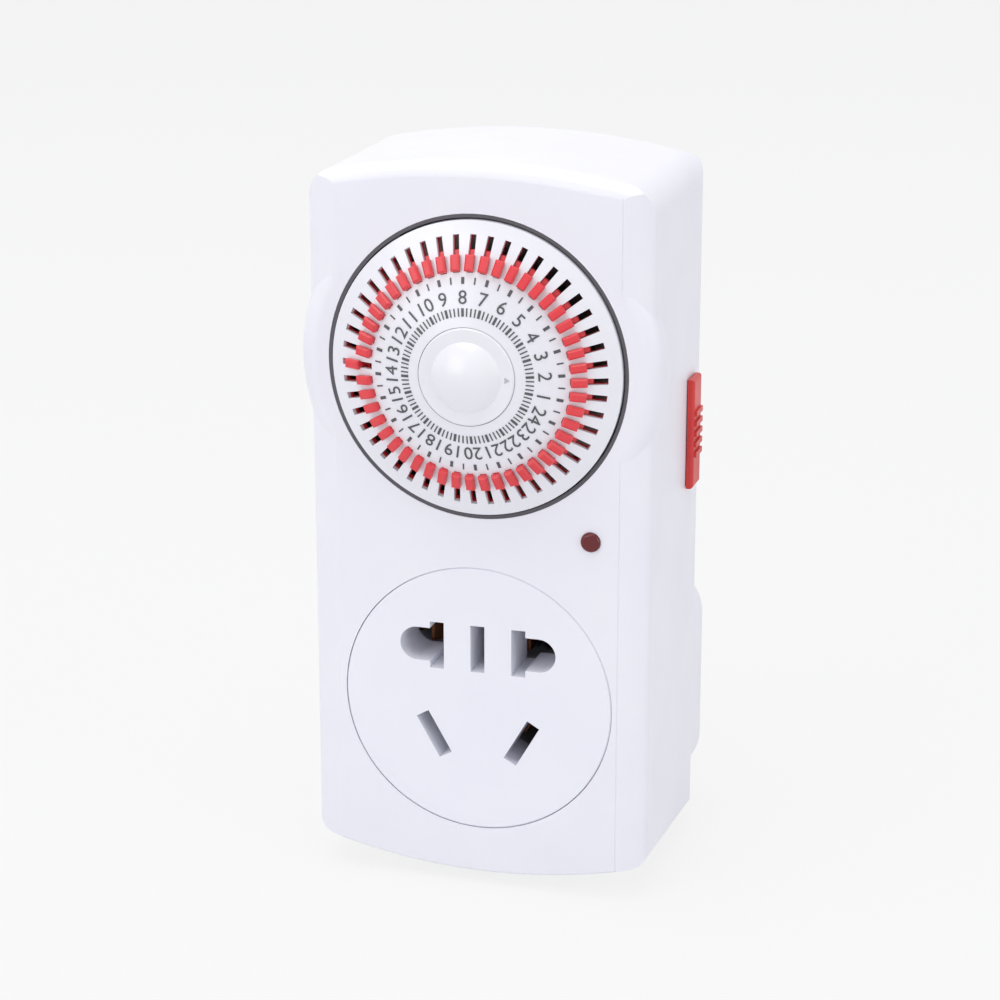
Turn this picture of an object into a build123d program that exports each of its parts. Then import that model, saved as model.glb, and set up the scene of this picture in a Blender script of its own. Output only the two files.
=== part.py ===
from build123d import *
import math
import os

os.makedirs("parts", exist_ok=True)

# Plug-in 24-hour timer switch: a wall plug on the back, a five-hole outlet on the front and a
# motor-driven dial of 48 sliding trippers between them. Millimetres.
# Frame: +X to the right and +Z up as seen from the front, +Y into the wall. The origin is the centre
# of the plug's pin pattern on the face that meets the wall outlet. The front face looks along -Y.

# ---- Driving dimensions ---------------------------------------------------------------------------

# Housing
BODY_HALF_WIDTH = 26.0
BODY_TOP = 92.1             # apex of the arched top
BODY_TOP_ARC = 110.0
BODY_BOTTOM = -17.2         # apex of the arched bottom, at the front face
BODY_BOTTOM_ARC = 90.0
BOTTOM_LEAN = 2.4           # how far the bottom drops from the front to the back
BODY_FRONT = -44.0
BODY_BACK = -9.5
SEAM = -19.6                # plane where the front and rear shells meet
WALL = 2.2
TOP_CORNER_R = 4.8
BOTTOM_CORNER_R = 2.5
SIDE_ROLL_X = 4.3           # the rolled long edges of the front face: their run across,
SIDE_ROLL_Y = 2.2           # and in depth
SIDE_ROLL_SLOPE = 0.25      # they leave the face at this slope
TOP_ROLL_R = 2.25
LEAST_CORNER_R = 0.4
CREASE_WIDTH = 0.3          # a fine groove marks where the front face starts to roll on the right
CREASE_DEPTH = 0.12
BACK_EDGE_R = 5.3
LIP_HEIGHT = 1.8            # tongue of the rear shell inside the front shell
LIP_WALL = 0.8
FIT_GAP = 0.1               # between pieces that are fitted together and stay so
RUN_GAP = 0.05              # radial, between a shaft and its bearing
SEAT_GAP = 0.02             # radial, between a pin and the hole it is pressed in
MOVE_GAP = 0.3              # between faces that pass each other

# Plug boss on the back
BOSS_HALF_WIDTH = 24.4
BOSS_HALF_HEIGHT = 18.2
BOSS_CENTRE_Z = 2.3
BOSS_CORNER_R = 8.0
BOSS_EDGE_R = 1.2

# Pins and outlet holes: three-pin pattern with the earth on top, live and neutral at 120 degrees
PIN_CIRCLE_R = 7.92
EARTH_OFFSET = 10.31
PIN_TILT = 30.0
BLADE_WIDTH = 6.4
BLADE_THICKNESS = 1.5
LIVE_PIN_LENGTH = 18.0
EARTH_PIN_LENGTH = 21.0
PIN_TIP_CHAMFER = 0.5
PIN_SHOULDER = 1.0          # flange behind the boss wall: its thickness,
PIN_SHOULDER_RIM = 1.0      # and how far it stands out around the blade
PIN_TAIL = 13.0             # depth of the pins' inner ends behind the wall face
PIN_BLOCK_DEPTH = 4.8
PIN_BLOCK_RIM = 2.6
OUTLET_Z = 8.5              # centre of the outlet's three-pin pattern
SLOT_WIDTH = 2.2
SLOT_HEIGHT = 7.3
TWO_PIN_X = 6.35            # flat two-pin slots
ROUND_PIN_X = 9.5           # round two-pin holes, which run into the flat slots
ROUND_HOLE_R = 2.6

# Outlet face and the contacts behind it
OUTLET_FACE_Z = 10.8
OUTLET_FACE_R = 20.7
OUTLET_FLANGE_R = 22.3
OUTLET_FLANGE = 1.5
OUTLET_GAP = 0.1            # around the face in its opening
OUTLET_PAD = 4.6            # thicker middle of the face, in front of the contact block
FACE_EDGE_CHAMFER = 0.2
BLOCK_HALF_WIDTH = 17.0
BLOCK_LOW = -3.0
BLOCK_HIGH = 26.0
BLOCK_BACK = -23.4
PROP_R = 1.2                # posts behind the block
PROP_INSET = 0.5
POCKET_RIM = 0.6            # the pockets are this much wider than the holes
CONTACT_SHEET = 0.6
CONTACT_LEAF = 0.5
LEAF_REACH = 11.6           # leaves rise this far from the contact sheet towards the front
LIP_RUN = 2.6               # the two-pin leaves flare outwards to a lead-in lip: its run across,
LIP_RISE = 2.8              # and in depth
LEAF_HALF_GAP = 0.7
LEAF_WIDTH = 5.4
CONTACT_SHEET_IN = 4.6      # inner and outer edges of the live and neutral sheets
CONTACT_SHEET_OUT = 13.6
EARTH_SHEET_HALF = 3.4
STRAP = 0.6
STRAP_WIDTH = 3.0

# Dial: a shallow white dome that turns in a round opening
DIAL_Z = 62.0
DIAL_R = 21.9
DOME_R = 50.0
DOME_RISE = 5.5             # the dome's apex in front of the housing face
DIAL_SHELL = 0.65
DIAL_SKIRT = 0.6
DIAL_SKIRT_DEPTH = 2.4      # how far the skirt reaches behind the housing face
DIAL_HUB_R = 3.0
CAP_RECESS_R = 7.3
CAP_RECESS_RISE = 3.6       # floor of the recess for the cap, in front of the housing face
CAP_R = 7.22
CAP_EDGE_R = 0.3
CAP_WALL = 0.2              # behind the rim, over the spindle's end
CAP_RIM_RISE = 5.2
CAP_DOME_R = 5.2
CAP_RISE = 7.3
SPINDLE_R = 1.5
SPINDLE_FLANGE_R = 3.4
BEZEL_LIP = 0.55            # dark ring around the dial: thickness of its lip,
BEZEL_GAP = 0.25            # running gap to the dial,
BEZEL_SINK = 0.1            # how far its lip lies behind the housing face,
BEZEL_FLANGE_R = 24.2
BEZEL_FLANGE = 0.6
BULGE_R = 27.7              # the housing swells round the dial on both sides
BULGE_DEPTH = 5.0
BULGE_FRONT_EDGE = 3.3
BULGE_BACK_EDGE = 1.4
BULGE_BELOW_TOP = 6.0       # it stops this far below the body's top

# Trippers: one for each half hour
TRIPPERS = 48
JOINTED_EVERY = 4           # each fourth tripper is a body of its own
SLOT_MID_R = 17.5
DIAL_SLOT = 0.95
DIAL_SLOT_LENGTH = 5.5
DIAL_SLOT_CUT = 8.0         # height of the cut through the dome
TRIPPER_TRAVEL = 1.9
STEM_WIDTH = 0.75
STEM_LENGTH = 3.3
STEM_INSET = 0.5            # top of the bare stem below the dome
HEAD_LENGTH = 2.4
HEAD_WIDTH = 1.3
HEAD_HEIGHT = 0.8
HEAD_BEVEL = 0.25
TRIPPER_GAP = 0.15
FOOT_WIDTH = 1.25
FOOT_HEIGHT = 0.7
FOOT_OVERHANG = 0.45        # the foot reaches this far past the stem inwards,
FOOT_LUG_REACH = 0.2        # and its lug this far outwards
FOOT_LUG = 0.5
FOOT_LUG_DEPTH = 0.75
SET_TRIPPER = 36            # the tripper at nine o'clock is pushed out
CARRIER = 0.7
CARRIER_IN_R = 13.7
CARRIER_OUT_R = 20.9

# Movement
PLATE = 1.2
FRONT_PLATE_Y = -38.5
REAR_PLATE_Y = -29.5
PLATE_R = 21.5
PLATE_POST_X = 17.5         # posts of the front shell that carry the movement
PLATE_POST_Z = 17.5
POST_R = 2.0
POST_PILOT_R = 0.9
EAR_R = 3.0
PILLAR_R = 1.5
PILLAR_RING_R = 18.5
PILLAR_ANGLES = (45.0, 100.0, 200.0, 255.0)
SCREW_R = 0.85
SCREW_HEAD_R = 1.7
SCREW_HEAD = 1.0
GEAR_MODULE = 0.4
GEAR_BACKLASH = 0.12
GEAR_ADDENDUM = 0.8         # of the module
GEAR_DEDENDUM = 1.25
PRESSURE_ANGLE = 25.0
DIAL_TEETH = 72
PINION_TEETH = 12
WHEEL_TEETH = 40
MOTOR_TEETH = 10
DIAL_GEAR_Y = -41.0
DIAL_GEAR_THICK = 1.5
GEAR_WINDOWS = 6
WINDOW_RING_R = 8.5
WINDOW_R = 2.8
WHEEL_Y = -36.2
WHEEL_THICK = 1.4
WHEEL_ANGLE = -45.0         # wheel arbor, clockwise from the top of the dial
MOTOR_SHAFT_ANGLE = 98.0    # motor shaft, clockwise from the top of the wheel
CLUTCH_WASHER = 0.4
CLUTCH_WASHER_R = 3.2
ARBOR_R = 0.7
WHEEL_HUB_R = 1.6
MOTOR_R = 13.5
MOTOR_DEPTH = 12.8
MOTOR_LID = 0.8
MOTOR_EDGE_R = 1.0
MOTOR_SHAFT_R = 0.8
MOTOR_SHAFT_DEPTH = 4.4     # how far the shaft runs past the rear plate
SHAFT_PROUD = 0.2           # shafts and pinions stand this far past the faces they carry
MOTOR_EAR_X = 16.0
MOTOR_EAR_R = 2.6

# Switch
LEVER_X = 6.0
LEVER_Z = 42.5
LEVER_HUB_R = 2.2
LEVER_THICK = 1.0
LEVER_WIDTH = 1.6
LEVER_Y = -40.9
PEG_RING_R = 19.88
PEG_ANGLE = 135.0           # clockwise from the top of the dial, midway between jointed trippers
PEG_R = 0.55
PEG_RISE = 2.1
REAR_ARM_Y = -34.6
LEVER_ARM = 6.0             # from the pivot to the plunger
REAR_ARM_END = 12.5         # from the pivot to the override finger
CASE_LENGTH = 20.0
CASE_HEIGHT = 10.2
CASE_DEPTH = 6.4
CASE_WALL = 0.8
CASE_LEFT = -4.0
SWITCH_SCREW_X = 9.25
SWITCH_POST_R = 1.35
TERMINAL_WIDTH = 1.9
TERMINAL_DROP = 2.0
CASE_TOP = 39.2
PLUNGER_R = 1.0
PLUNGER_STAND = 1.0         # plunger above the case
PLUNGER_SHOULDER_R = 1.6
CONTACT_GAP = 0.5
BLADE_SHEET = 0.3
BLADE_SHEET_WIDTH = 2.4
PLUNGER_SHOULDER = 1.0
PLUNGER_TIP_R = 0.3
RIVET_R = 0.9
RIVET = 0.4
CLIP_RIM = 0.9
CLIP = 0.5
SPRING_COIL_R = 0.9
SPRING_WIRE_R = 0.15
SPRING_TURNS = 5

# Override slider on the right side
SLIDER_WIDTH = 4.8
SLIDER_LENGTH = 17.0
SLIDER_Z = 48.2
SLIDER_CLEAR = 0.15         # between the side and the bar
SLIDER_PROUD = 1.05
SLIDER_STEM_WIDTH = 2.0
SLIDER_STEM_LENGTH = 6.0
SLIDER_TRAVEL = 3.0
SLIDER_RIDGES = 5
RIDGE_PITCH = 1.6
RIDGE_HEIGHT = 0.35
RIDGE_WIDTH = 0.8
SLIDER_EDGE_R = 0.5
SLIDER_BACKING = 1.9
BACKING_RIM = 0.6           # it reaches this far past the bar towards the front,
BACKING_HOLD = 0.4          # and this far past the stem towards the back
SLOT_GAP = 0.1              # between the stem and the sides of its slot
FINGER_WIDTH = 2.0
FINGER_OVERLAP = 0.7        # over the end of the lever's rear arm

# Lamp
LAMP_FROM_SIDE = 8.7
LAMP_Z = 37.3
LAMP_R = 1.5
LAMP_PROUD = 0.6
LAMP_EDGE_R = 0.55
LAMP_FLANGE_R = 2.2
LAMP_FLANGE = 0.7
LED_R = 1.25
LED_EDGE_R = 0.5
BOARD_HALF = 4.0
BOARD = 1.2
BOARD_Y = -39.4
BOARD_POST_R = 0.9
BOARD_POST_INSET = 1.0
RESISTOR_R = 0.8
RESISTOR_LENGTH = 3.6
LEAD_R = 0.25
LEAD_REACH = 0.8            # of each lead past the resistor's end

# Case screws
CASE_SCREW_TOP = (6.6, 8.1)     # from the body's side and from its top
CASE_SCREW_LOW = (8.6, 8.8)     # from its side and from its bottom
CASE_BOSS_R = 2.8
CASE_SLEEVE_R = 4.0
CASE_SCREW_R = 1.2
CASE_HEAD_R = 2.7
CASE_HEAD = 1.3
CASE_HEAD_SEAT = -11.0
CASE_SCREW_LENGTH = 18.0
DRIVE_SLOT = 0.6
DRIVE_SLOT_REACH = 1.6      # times the head's radius

FAR = 150.0                 # past the whole object, for cuts that run right through

# ---- Places that follow from them -----------------------------------------------------------------

FACE_INNER = BODY_FRONT + WALL
BACK_INNER = BODY_BACK - WALL
SIDE_INNER = BODY_HALF_WIDTH - WALL
DOME_CENTRE_Y = BODY_FRONT - DOME_RISE + DOME_R
BEZEL_IN_R = DIAL_R + BEZEL_GAP
DIAL_OPENING_R = BEZEL_IN_R + BEZEL_LIP + SEAT_GAP
FLANGE_BACK = FACE_INNER + OUTLET_FLANGE
BLOCK_FRONT = FLANGE_BACK + OUTLET_PAD
SCREW_ROWS = [(BODY_HALF_WIDTH - CASE_SCREW_TOP[0], BODY_TOP - CASE_SCREW_TOP[1]),
              (BODY_HALF_WIDTH - CASE_SCREW_LOW[0], BODY_BOTTOM + CASE_SCREW_LOW[1])]
CASE_SCREWS = [(side * x, z) for x, z in SCREW_ROWS for side in (-1, 1)]
LAMP_X = BODY_HALF_WIDTH - LAMP_FROM_SIDE
SLIDER_Y = SEAM                # the slider runs in the joint of the shells
PLATE_POSTS = [(sx * PLATE_POST_X, DIAL_Z + sz * PLATE_POST_Z) for sx in (-1, 1) for sz in (-1, 1)]
BOARD_POST_STEP = BOARD_HALF - BOARD_POST_INSET
BOARD_POSTS = [(LAMP_X + s * BOARD_POST_STEP, LAMP_Z - s * BOARD_POST_STEP) for s in (-1, 1)]


def clock(angle, radius, x=0.0, z=DIAL_Z):
    """A point on a circle, clockwise from its top as seen from the front."""
    turn = math.radians(angle)
    return x + radius * math.sin(turn), z + radius * math.cos(turn)


GEAR_DISTANCE = GEAR_MODULE * (DIAL_TEETH + PINION_TEETH) / 2
MOTOR_DISTANCE = GEAR_MODULE * (WHEEL_TEETH + MOTOR_TEETH) / 2
WHEEL_X, WHEEL_Z = clock(WHEEL_ANGLE, GEAR_DISTANCE)
SHAFT_X, SHAFT_Z = clock(MOTOR_SHAFT_ANGLE, MOTOR_DISTANCE, WHEEL_X, WHEEL_Z)
SHAFT_END = REAR_PLATE_Y + PLATE + MOTOR_SHAFT_DEPTH
PEG_X, PEG_Z = clock(PEG_ANGLE, PEG_RING_R)
PLUNGER_X = LEVER_X + LEVER_ARM
PLUNGER_TOP = CASE_TOP + PLUNGER_STAND
BLADE_TOP = CASE_TOP - CASE_WALL - MOVE_GAP - PLUNGER_SHOULDER
CASE_Y = FRONT_PLATE_Y + PLATE
CASE_MID_Y = CASE_Y + CASE_DEPTH / 2
REAR_ARM_LOW = PLUNGER_TOP + FIT_GAP
REAR_ARM_Z = REAR_ARM_LOW + LEVER_WIDTH / 2


# ---- Building blocks ------------------------------------------------------------------------------

def across(depth):
    """The plane at a depth that a front view is drawn on, as x and y."""
    return Plane(origin=(0, depth, 0), x_dir=(1, 0, 0), z_dir=(0, -1, 0))


def slab(sketch, y0, y1):
    """A flat shape in X and Z made solid between two depths."""
    return extrude(across(y1) * sketch, amount=y1 - y0)


def block(x0, x1, y0, y1, z0, z1):
    return Pos((x0 + x1) / 2, (y0 + y1) / 2, (z0 + z1) / 2) * Box(x1 - x0, y1 - y0, z1 - z0)


def rod(x, z, radius, y0, y1):
    """A round bar along Y."""
    return Pos(x, (y0 + y1) / 2, z) * Rot(90, 0, 0) * Cylinder(radius, y1 - y0)


def tube(x, z, outer, inner, y0, y1):
    return rod(x, z, outer, y0, y1) - rod(x, z, inner, y0, y1)


def tilted_bar(x, z, length, width, tilt):
    """A flat bar outline, its length turned clockwise from upright by tilt."""
    return Pos(x, z) * Rot(0, 0, -tilt) * Rectangle(width, length)


def keep(name, shape):
    """Writes one sub-part."""
    shape.label = name
    export_step(shape, f"parts/{name}.step")


# ---- Housing --------------------------------------------------------------------------------------

def body_plan(inset, rolled):
    """The section of the body seen from above, with rounded back edges."""
    half = BODY_HALF_WIDTH - inset
    front = BODY_FRONT + inset
    back = BODY_BACK - inset
    flat = half - SIDE_ROLL_X
    side_y = front + SIDE_ROLL_Y
    if rolled:
        edge = flat - CREASE_WIDTH
        groove = flat - CREASE_WIDTH / 2
        bed = front + CREASE_DEPTH
        knee = front + SIDE_ROLL_X * SIDE_ROLL_SLOPE
        face = make_face(Curve() + [
            Polyline((-flat, front), (edge, front), (groove, bed), (flat, front)),
            Bezier((flat, front), (half, knee), (half, side_y)),
            Line((half, side_y), (half, back)),
            Line((half, back), (-half, back)),
            Line((-half, back), (-half, side_y)),
            Bezier((-half, side_y), (-half, knee), (-flat, front)),
        ])
    else:
        face = Pos(0, (front + back) / 2) * Rectangle(2 * half, back - front)
    return fillet(face.vertices().sort_by(Axis.Y)[-2:], BACK_EDGE_R - inset)


def round_rims(drum, front_r, back_r):
    """Rounds the front and the back rim of a drum along Y."""
    rims = drum.edges().filter_by(GeomType.CIRCLE).sort_by(Axis.Y)
    drum = fillet(rims[-1], back_r)
    rims = drum.edges().filter_by(GeomType.CIRCLE).sort_by(Axis.Y)
    return fillet(rims[0], front_r)


def upper_space(inset):
    """The space under the arched top."""
    centre = BODY_TOP - BODY_TOP_ARC
    return rod(0, centre, BODY_TOP_ARC - inset, BODY_FRONT + inset, BODY_BACK - inset)


def lower_space(inset):
    """The space over the arched bottom, which drops towards the back."""
    front = BODY_FRONT + inset
    back = BODY_BACK - inset
    drop = BOTTOM_LEAN * inset / (BODY_BACK - BODY_FRONT)
    front_r = BODY_BOTTOM_ARC - inset + drop
    back_r = BODY_BOTTOM_ARC - inset + BOTTOM_LEAN - drop
    place = Pos(0, (front + back) / 2, BODY_BOTTOM + BODY_BOTTOM_ARC) * Rot(90, 0, 0)
    return place * Cone(back_r, front_r, back - front)


def long_edges(form):
    """Edges that run from the front to the back, lowest first."""
    deep = (BODY_BACK - BODY_FRONT) / 2
    return form.edges().filter_by(lambda e: e.bounding_box().size.Y > deep).sort_by(Axis.Z)


def body_form(inset, rolled=False):
    """The body without bulge and boss, drawn in by inset, with or without its rolled front edges."""
    half = BODY_HALF_WIDTH - inset
    upper = upper_space(inset)
    lower = lower_space(inset)
    form = block(-half, half, BODY_FRONT + inset, BODY_BACK - inset, -FAR, FAR) & upper & lower
    form = fillet(long_edges(form)[-2:], TOP_CORNER_R - inset)
    form = fillet(long_edges(form)[:2], max(BOTTOM_CORNER_R - inset, LEAST_CORNER_R))
    back_r = BACK_EDGE_R - inset
    top_roll = TOP_ROLL_R if rolled else LEAST_CORNER_R
    form &= extrude(Pos(0, 0, -FAR) * body_plan(inset, rolled), amount=2 * FAR)
    return form & round_rims(upper, top_roll, back_r) & round_rims(lower, LEAST_CORNER_R, back_r)


def body_solid():
    """The whole outer form without the plug boss."""
    return body_form(0, rolled=True) + bulge_solid()


def between(form, y0, y1):
    """The part of a form between two depths."""
    return form & block(-FAR, FAR, y0, y1, -FAR, FAR)


def bulge_solid():
    """The round swelling of both sides about the dial's axis."""
    back = BODY_FRONT + BULGE_DEPTH
    drum = round_rims(rod(0, DIAL_Z, BULGE_R, BODY_FRONT, back), BULGE_FRONT_EDGE, BULGE_BACK_EDGE)
    return drum & block(-BULGE_R, BULGE_R, BODY_FRONT, back, BODY_BOTTOM, BODY_TOP - BULGE_BELOW_TOP)


def cavity():
    return body_form(WALL)


def front_housing():
    shell = between(body_solid() - cavity(), BODY_FRONT, SEAM)
    middle_form = body_form(WALL / 2)
    for x, z in CASE_SCREWS:
        shell += rod(x, z, CASE_BOSS_R, FACE_INNER, SEAM) & middle_form
        shell -= rod(x, z, CASE_SCREW_R + SEAT_GAP, SEAM - CASE_SCREW_LENGTH, SEAM)
    for x, z in PLATE_POSTS:
        shell += rod(x, z, POST_R, FACE_INNER, FRONT_PLATE_Y)
        shell -= rod(x, z, POST_PILOT_R, FACE_INNER, FRONT_PLATE_Y)
    for x, z in BOARD_POSTS:
        shell += rod(x, z, BOARD_POST_R, FACE_INNER, BOARD_Y)
    shell -= rod(0, DIAL_Z, DIAL_OPENING_R, BODY_FRONT - 1, FACE_INNER)
    shell -= rod(0, DIAL_Z, BEZEL_FLANGE_R + FIT_GAP, FACE_INNER, FACE_INNER + BEZEL_FLANGE) - posts_zone()
    shell -= rod(0, OUTLET_FACE_Z, OUTLET_FACE_R + OUTLET_GAP, BODY_FRONT - 1, FACE_INNER)
    shell -= rod(LAMP_X, LAMP_Z, LAMP_R + SEAT_GAP, BODY_FRONT - 1, FACE_INNER)
    return shell - slider_slot()


def posts_zone():
    """The posts for the movement, which the bezel's flange is notched round."""
    return Part() + [rod(x, z, POST_R, FACE_INNER, FRONT_PLATE_Y) for x, z in PLATE_POSTS]


def slider_slot():
    half = (SLIDER_STEM_LENGTH + SLIDER_TRAVEL) / 2 + MOVE_GAP
    middle = SLIDER_Z - SLIDER_TRAVEL / 2
    width = SLIDER_STEM_WIDTH / 2 + SLOT_GAP
    return block(SIDE_INNER - 1, BODY_HALF_WIDTH + 1, SLIDER_Y - width, SLIDER_Y + width,
                 middle - half, middle + half)


def boss_outline(inset):
    width = 2 * (BOSS_HALF_WIDTH - inset)
    height = 2 * (BOSS_HALF_HEIGHT - inset)
    return Pos(0, BOSS_CENTRE_Z) * RectangleRounded(width, height, BOSS_CORNER_R - inset)


def rear_housing():
    shell = between(body_solid(), SEAM, BODY_BACK)
    boss = slab(boss_outline(0), SEAM, 0)
    rim = boss.faces().sort_by(Axis.Y)[-1].edges()
    shell += fillet(rim, BOSS_EDGE_R)
    shell -= cavity()
    shell -= slab(boss_outline(WALL), SEAM, -WALL)
    shell += seam_lip()
    inside = body_form(WALL / 2) + slab(boss_outline(WALL / 2), SEAM, -WALL)
    for x, z in CASE_SCREWS:
        shell += rod(x, z, CASE_SLEEVE_R, SEAM, -WALL) & inside
        shell -= rod(x, z, CASE_HEAD_R + MOVE_GAP, CASE_HEAD_SEAT, 1)
        shell -= rod(x, z, CASE_SCREW_R + MOVE_GAP, SEAM - 1, CASE_HEAD_SEAT + 1)
    for x, z in block_props():
        in_boss = z < BOSS_CENTRE_Z + BOSS_HALF_HEIGHT - WALL
        shell += rod(x, z, PROP_R, BLOCK_BACK, -WALL if in_boss else BACK_INNER)
    shell -= blades(FIT_GAP, -WALL - 1, 1)
    return shell - slider_slot()


def seam_lip():
    inner = body_form(WALL + FIT_GAP + LIP_WALL)
    tongue = between(body_form(WALL + FIT_GAP), SEAM - LIP_HEIGHT, SEAM)
    tongue += between(body_form(WALL / 2), SEAM, SEAM + WALL / 2)
    tongue -= inner
    for x, z in CASE_SCREWS:
        tongue -= rod(x, z, CASE_BOSS_R + FIT_GAP, SEAM - LIP_HEIGHT, SEAM)
    reach = SLIDER_LENGTH / 2 + SLIDER_TRAVEL
    gap = block(0, BODY_HALF_WIDTH - WALL / 2, SEAM - LIP_HEIGHT, SEAM + WALL / 2,
                SLIDER_Z - reach, SLIDER_Z + reach)
    return tongue - gap


def block_props():
    """Posts of the rear shell that hold the contact block against the outlet face."""
    x = BLOCK_HALF_WIDTH - PROP_INSET
    return [(sx * x, z) for sx in (-1, 1) for z in (BLOCK_LOW + PROP_R, BLOCK_HIGH - PROP_R)]


# ---- Plug pins ------------------------------------------------------------------------------------

def pin_places(centre_z):
    """Place and tilt of the neutral, live and earth blades about a pattern centre."""
    side = PIN_CIRCLE_R * math.sin(math.radians(60))
    drop = PIN_CIRCLE_R / 2
    return [(-side, centre_z - drop, -PIN_TILT), (side, centre_z - drop, PIN_TILT),
            (0, centre_z + EARTH_OFFSET, 0)]


def blades(grow, y0, y1):
    bars = [tilted_bar(x, z, BLADE_WIDTH + 2 * grow, BLADE_THICKNESS + 2 * grow, tilt)
            for x, z, tilt in pin_places(0)]
    return Part() + [slab(bar, y0, y1) for bar in bars]


def plug_pin(place, length):
    x, z, tilt = place
    bar = slab(tilted_bar(x, z, BLADE_WIDTH, BLADE_THICKNESS, tilt), -PIN_TAIL, length)
    bar = chamfer(bar.faces().sort_by(Axis.Y)[-1].edges(), PIN_TIP_CHAMFER)
    rim = 2 * PIN_SHOULDER_RIM
    shoulder = tilted_bar(x, z, BLADE_WIDTH + rim, BLADE_THICKNESS + rim, tilt)
    return bar + slab(shoulder, -WALL - PIN_SHOULDER, -WALL)


def pin_block():
    """Insulating block that grips the three pins behind the boss wall."""
    front = -WALL - PIN_SHOULDER
    xs = [abs(x) for x, z, tilt in pin_places(0)]
    zs = [z for x, z, tilt in pin_places(0)]
    half = max(xs) + BLADE_THICKNESS + PIN_BLOCK_RIM
    low = min(zs) - BLADE_WIDTH / 2 - PIN_BLOCK_RIM
    high = max(zs) + BLADE_WIDTH / 2 + PIN_BLOCK_RIM
    body = block(-half, half, front - PIN_BLOCK_DEPTH, front, low, high)
    return body - blades(SEAT_GAP, front - PIN_BLOCK_DEPTH, front)


# ---- Outlet ---------------------------------------------------------------------------------------

def outlet_shapes(grow):
    """Outlines of the five outlet holes."""
    shapes = [tilted_bar(x, z, SLOT_HEIGHT + 2 * grow, SLOT_WIDTH + 2 * grow, tilt)
              for x, z, tilt in pin_places(OUTLET_Z)]
    row = OUTLET_Z + EARTH_OFFSET
    radius = ROUND_HOLE_R + grow
    for side in (-1, 1):
        flat = tilted_bar(side * TWO_PIN_X, row, SLOT_HEIGHT + 2 * grow, SLOT_WIDTH + 2 * grow, 0)
        middle = side * (TWO_PIN_X + ROUND_PIN_X) / 2
        bridge = Pos(middle, row) * Rectangle(ROUND_PIN_X - TWO_PIN_X, 2 * radius)
        shapes.append(flat + bridge + Pos(side * ROUND_PIN_X, row) * Circle(radius))
    return shapes


def outlet_face():
    disc = rod(0, OUTLET_FACE_Z, OUTLET_FACE_R, BODY_FRONT, FACE_INNER)
    disc = chamfer(disc.edges().sort_by(Axis.Y)[0], FACE_EDGE_CHAMFER)
    disc += rod(0, OUTLET_FACE_Z, OUTLET_FLANGE_R, FACE_INNER, FLANGE_BACK)
    disc += block_outline(FLANGE_BACK, BLOCK_FRONT) & rod(0, OUTLET_FACE_Z, OUTLET_FLANGE_R, -FAR, 0)
    for shape in outlet_shapes(0):
        disc -= slab(shape, BODY_FRONT - 1, BLOCK_FRONT + 1)
    return disc


def block_outline(y0, y1):
    """The contact block's outline as a solid between two depths."""
    return block(-BLOCK_HALF_WIDTH, BLOCK_HALF_WIDTH, y0, y1, BLOCK_LOW, BLOCK_HIGH)


def contact_block():
    body = block_outline(BLOCK_FRONT, BLOCK_BACK)
    for shape in outlet_shapes(POCKET_RIM):
        body -= slab(shape, BLOCK_FRONT - 1, BLOCK_BACK + 1)
    return body


def spring_leaf(x, z, tilt, width, offset=0.0):
    """A straight leaf that stands on a contact's sheet."""
    leaf = Pos(x, z) * Rot(0, 0, -tilt) * Pos(offset, 0) * Rectangle(CONTACT_LEAF, width)
    return slab(leaf, BLOCK_BACK - LEAF_REACH, BLOCK_BACK)


def leaf_pair(x, z, tilt):
    """Two spring leaves that a blade slides between."""
    offset = LEAF_HALF_GAP + CONTACT_LEAF / 2
    return [spring_leaf(x, z, tilt, LEAF_WIDTH, side * offset) for side in (-1, 1)]


def flared_leaf(side, row):
    """The leaf outside a flat two-pin slot, its end flared to a lead-in lip."""
    near = side * (TWO_PIN_X + LEAF_HALF_GAP)
    far = near + side * CONTACT_LEAF
    run = side * LIP_RUN
    tip = BLOCK_BACK - LEAF_REACH
    root = tip + LIP_RISE
    outline = [(near, BLOCK_BACK), (near, root), (near + run, tip), (far + run, tip), (far, root),
               (far, BLOCK_BACK)]
    face = make_face(Polyline(*outline, close=True))
    return extrude(Pos(0, 0, row - LEAF_WIDTH / 2) * face, amount=LEAF_WIDTH)


def line_contact(side):
    """Live or neutral contact: a sheet on the back of the block with leaves in its pockets."""
    x, z, tilt = pin_places(OUTLET_Z)[0 if side < 0 else 1]
    row = OUTLET_Z + EARTH_OFFSET
    sheet = block(CONTACT_SHEET_IN, CONTACT_SHEET_OUT, BLOCK_BACK, BLOCK_BACK + CONTACT_SHEET,
                  z - SLOT_HEIGHT / 2, row + SLOT_HEIGHT / 2)
    if side < 0:
        sheet = mirror(sheet, Plane.YZ)
    inner_leaf = spring_leaf(side * (TWO_PIN_X - LEAF_HALF_GAP - CONTACT_LEAF / 2), row, 0, LEAF_WIDTH)
    round_leaf = spring_leaf(side * (ROUND_PIN_X + ROUND_HOLE_R - CONTACT_LEAF / 2), row, 0, LEAF_WIDTH / 2)
    return sheet + leaf_pair(x, z, tilt) + inner_leaf + flared_leaf(side, row) + round_leaf


def earth_contact():
    x, z, tilt = pin_places(OUTLET_Z)[2]
    sheet = block(-EARTH_SHEET_HALF, EARTH_SHEET_HALF, BLOCK_BACK, BLOCK_BACK + CONTACT_SHEET,
                  z - SLOT_HEIGHT, z + SLOT_HEIGHT / 2)
    return sheet + leaf_pair(x, z, tilt)


def strap_plate(x0, x1, z0, z1):
    """A copper strip across the ends of the pins."""
    return block(x0, x1, -PIN_TAIL - STRAP, -PIN_TAIL, z0, z1)


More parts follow.
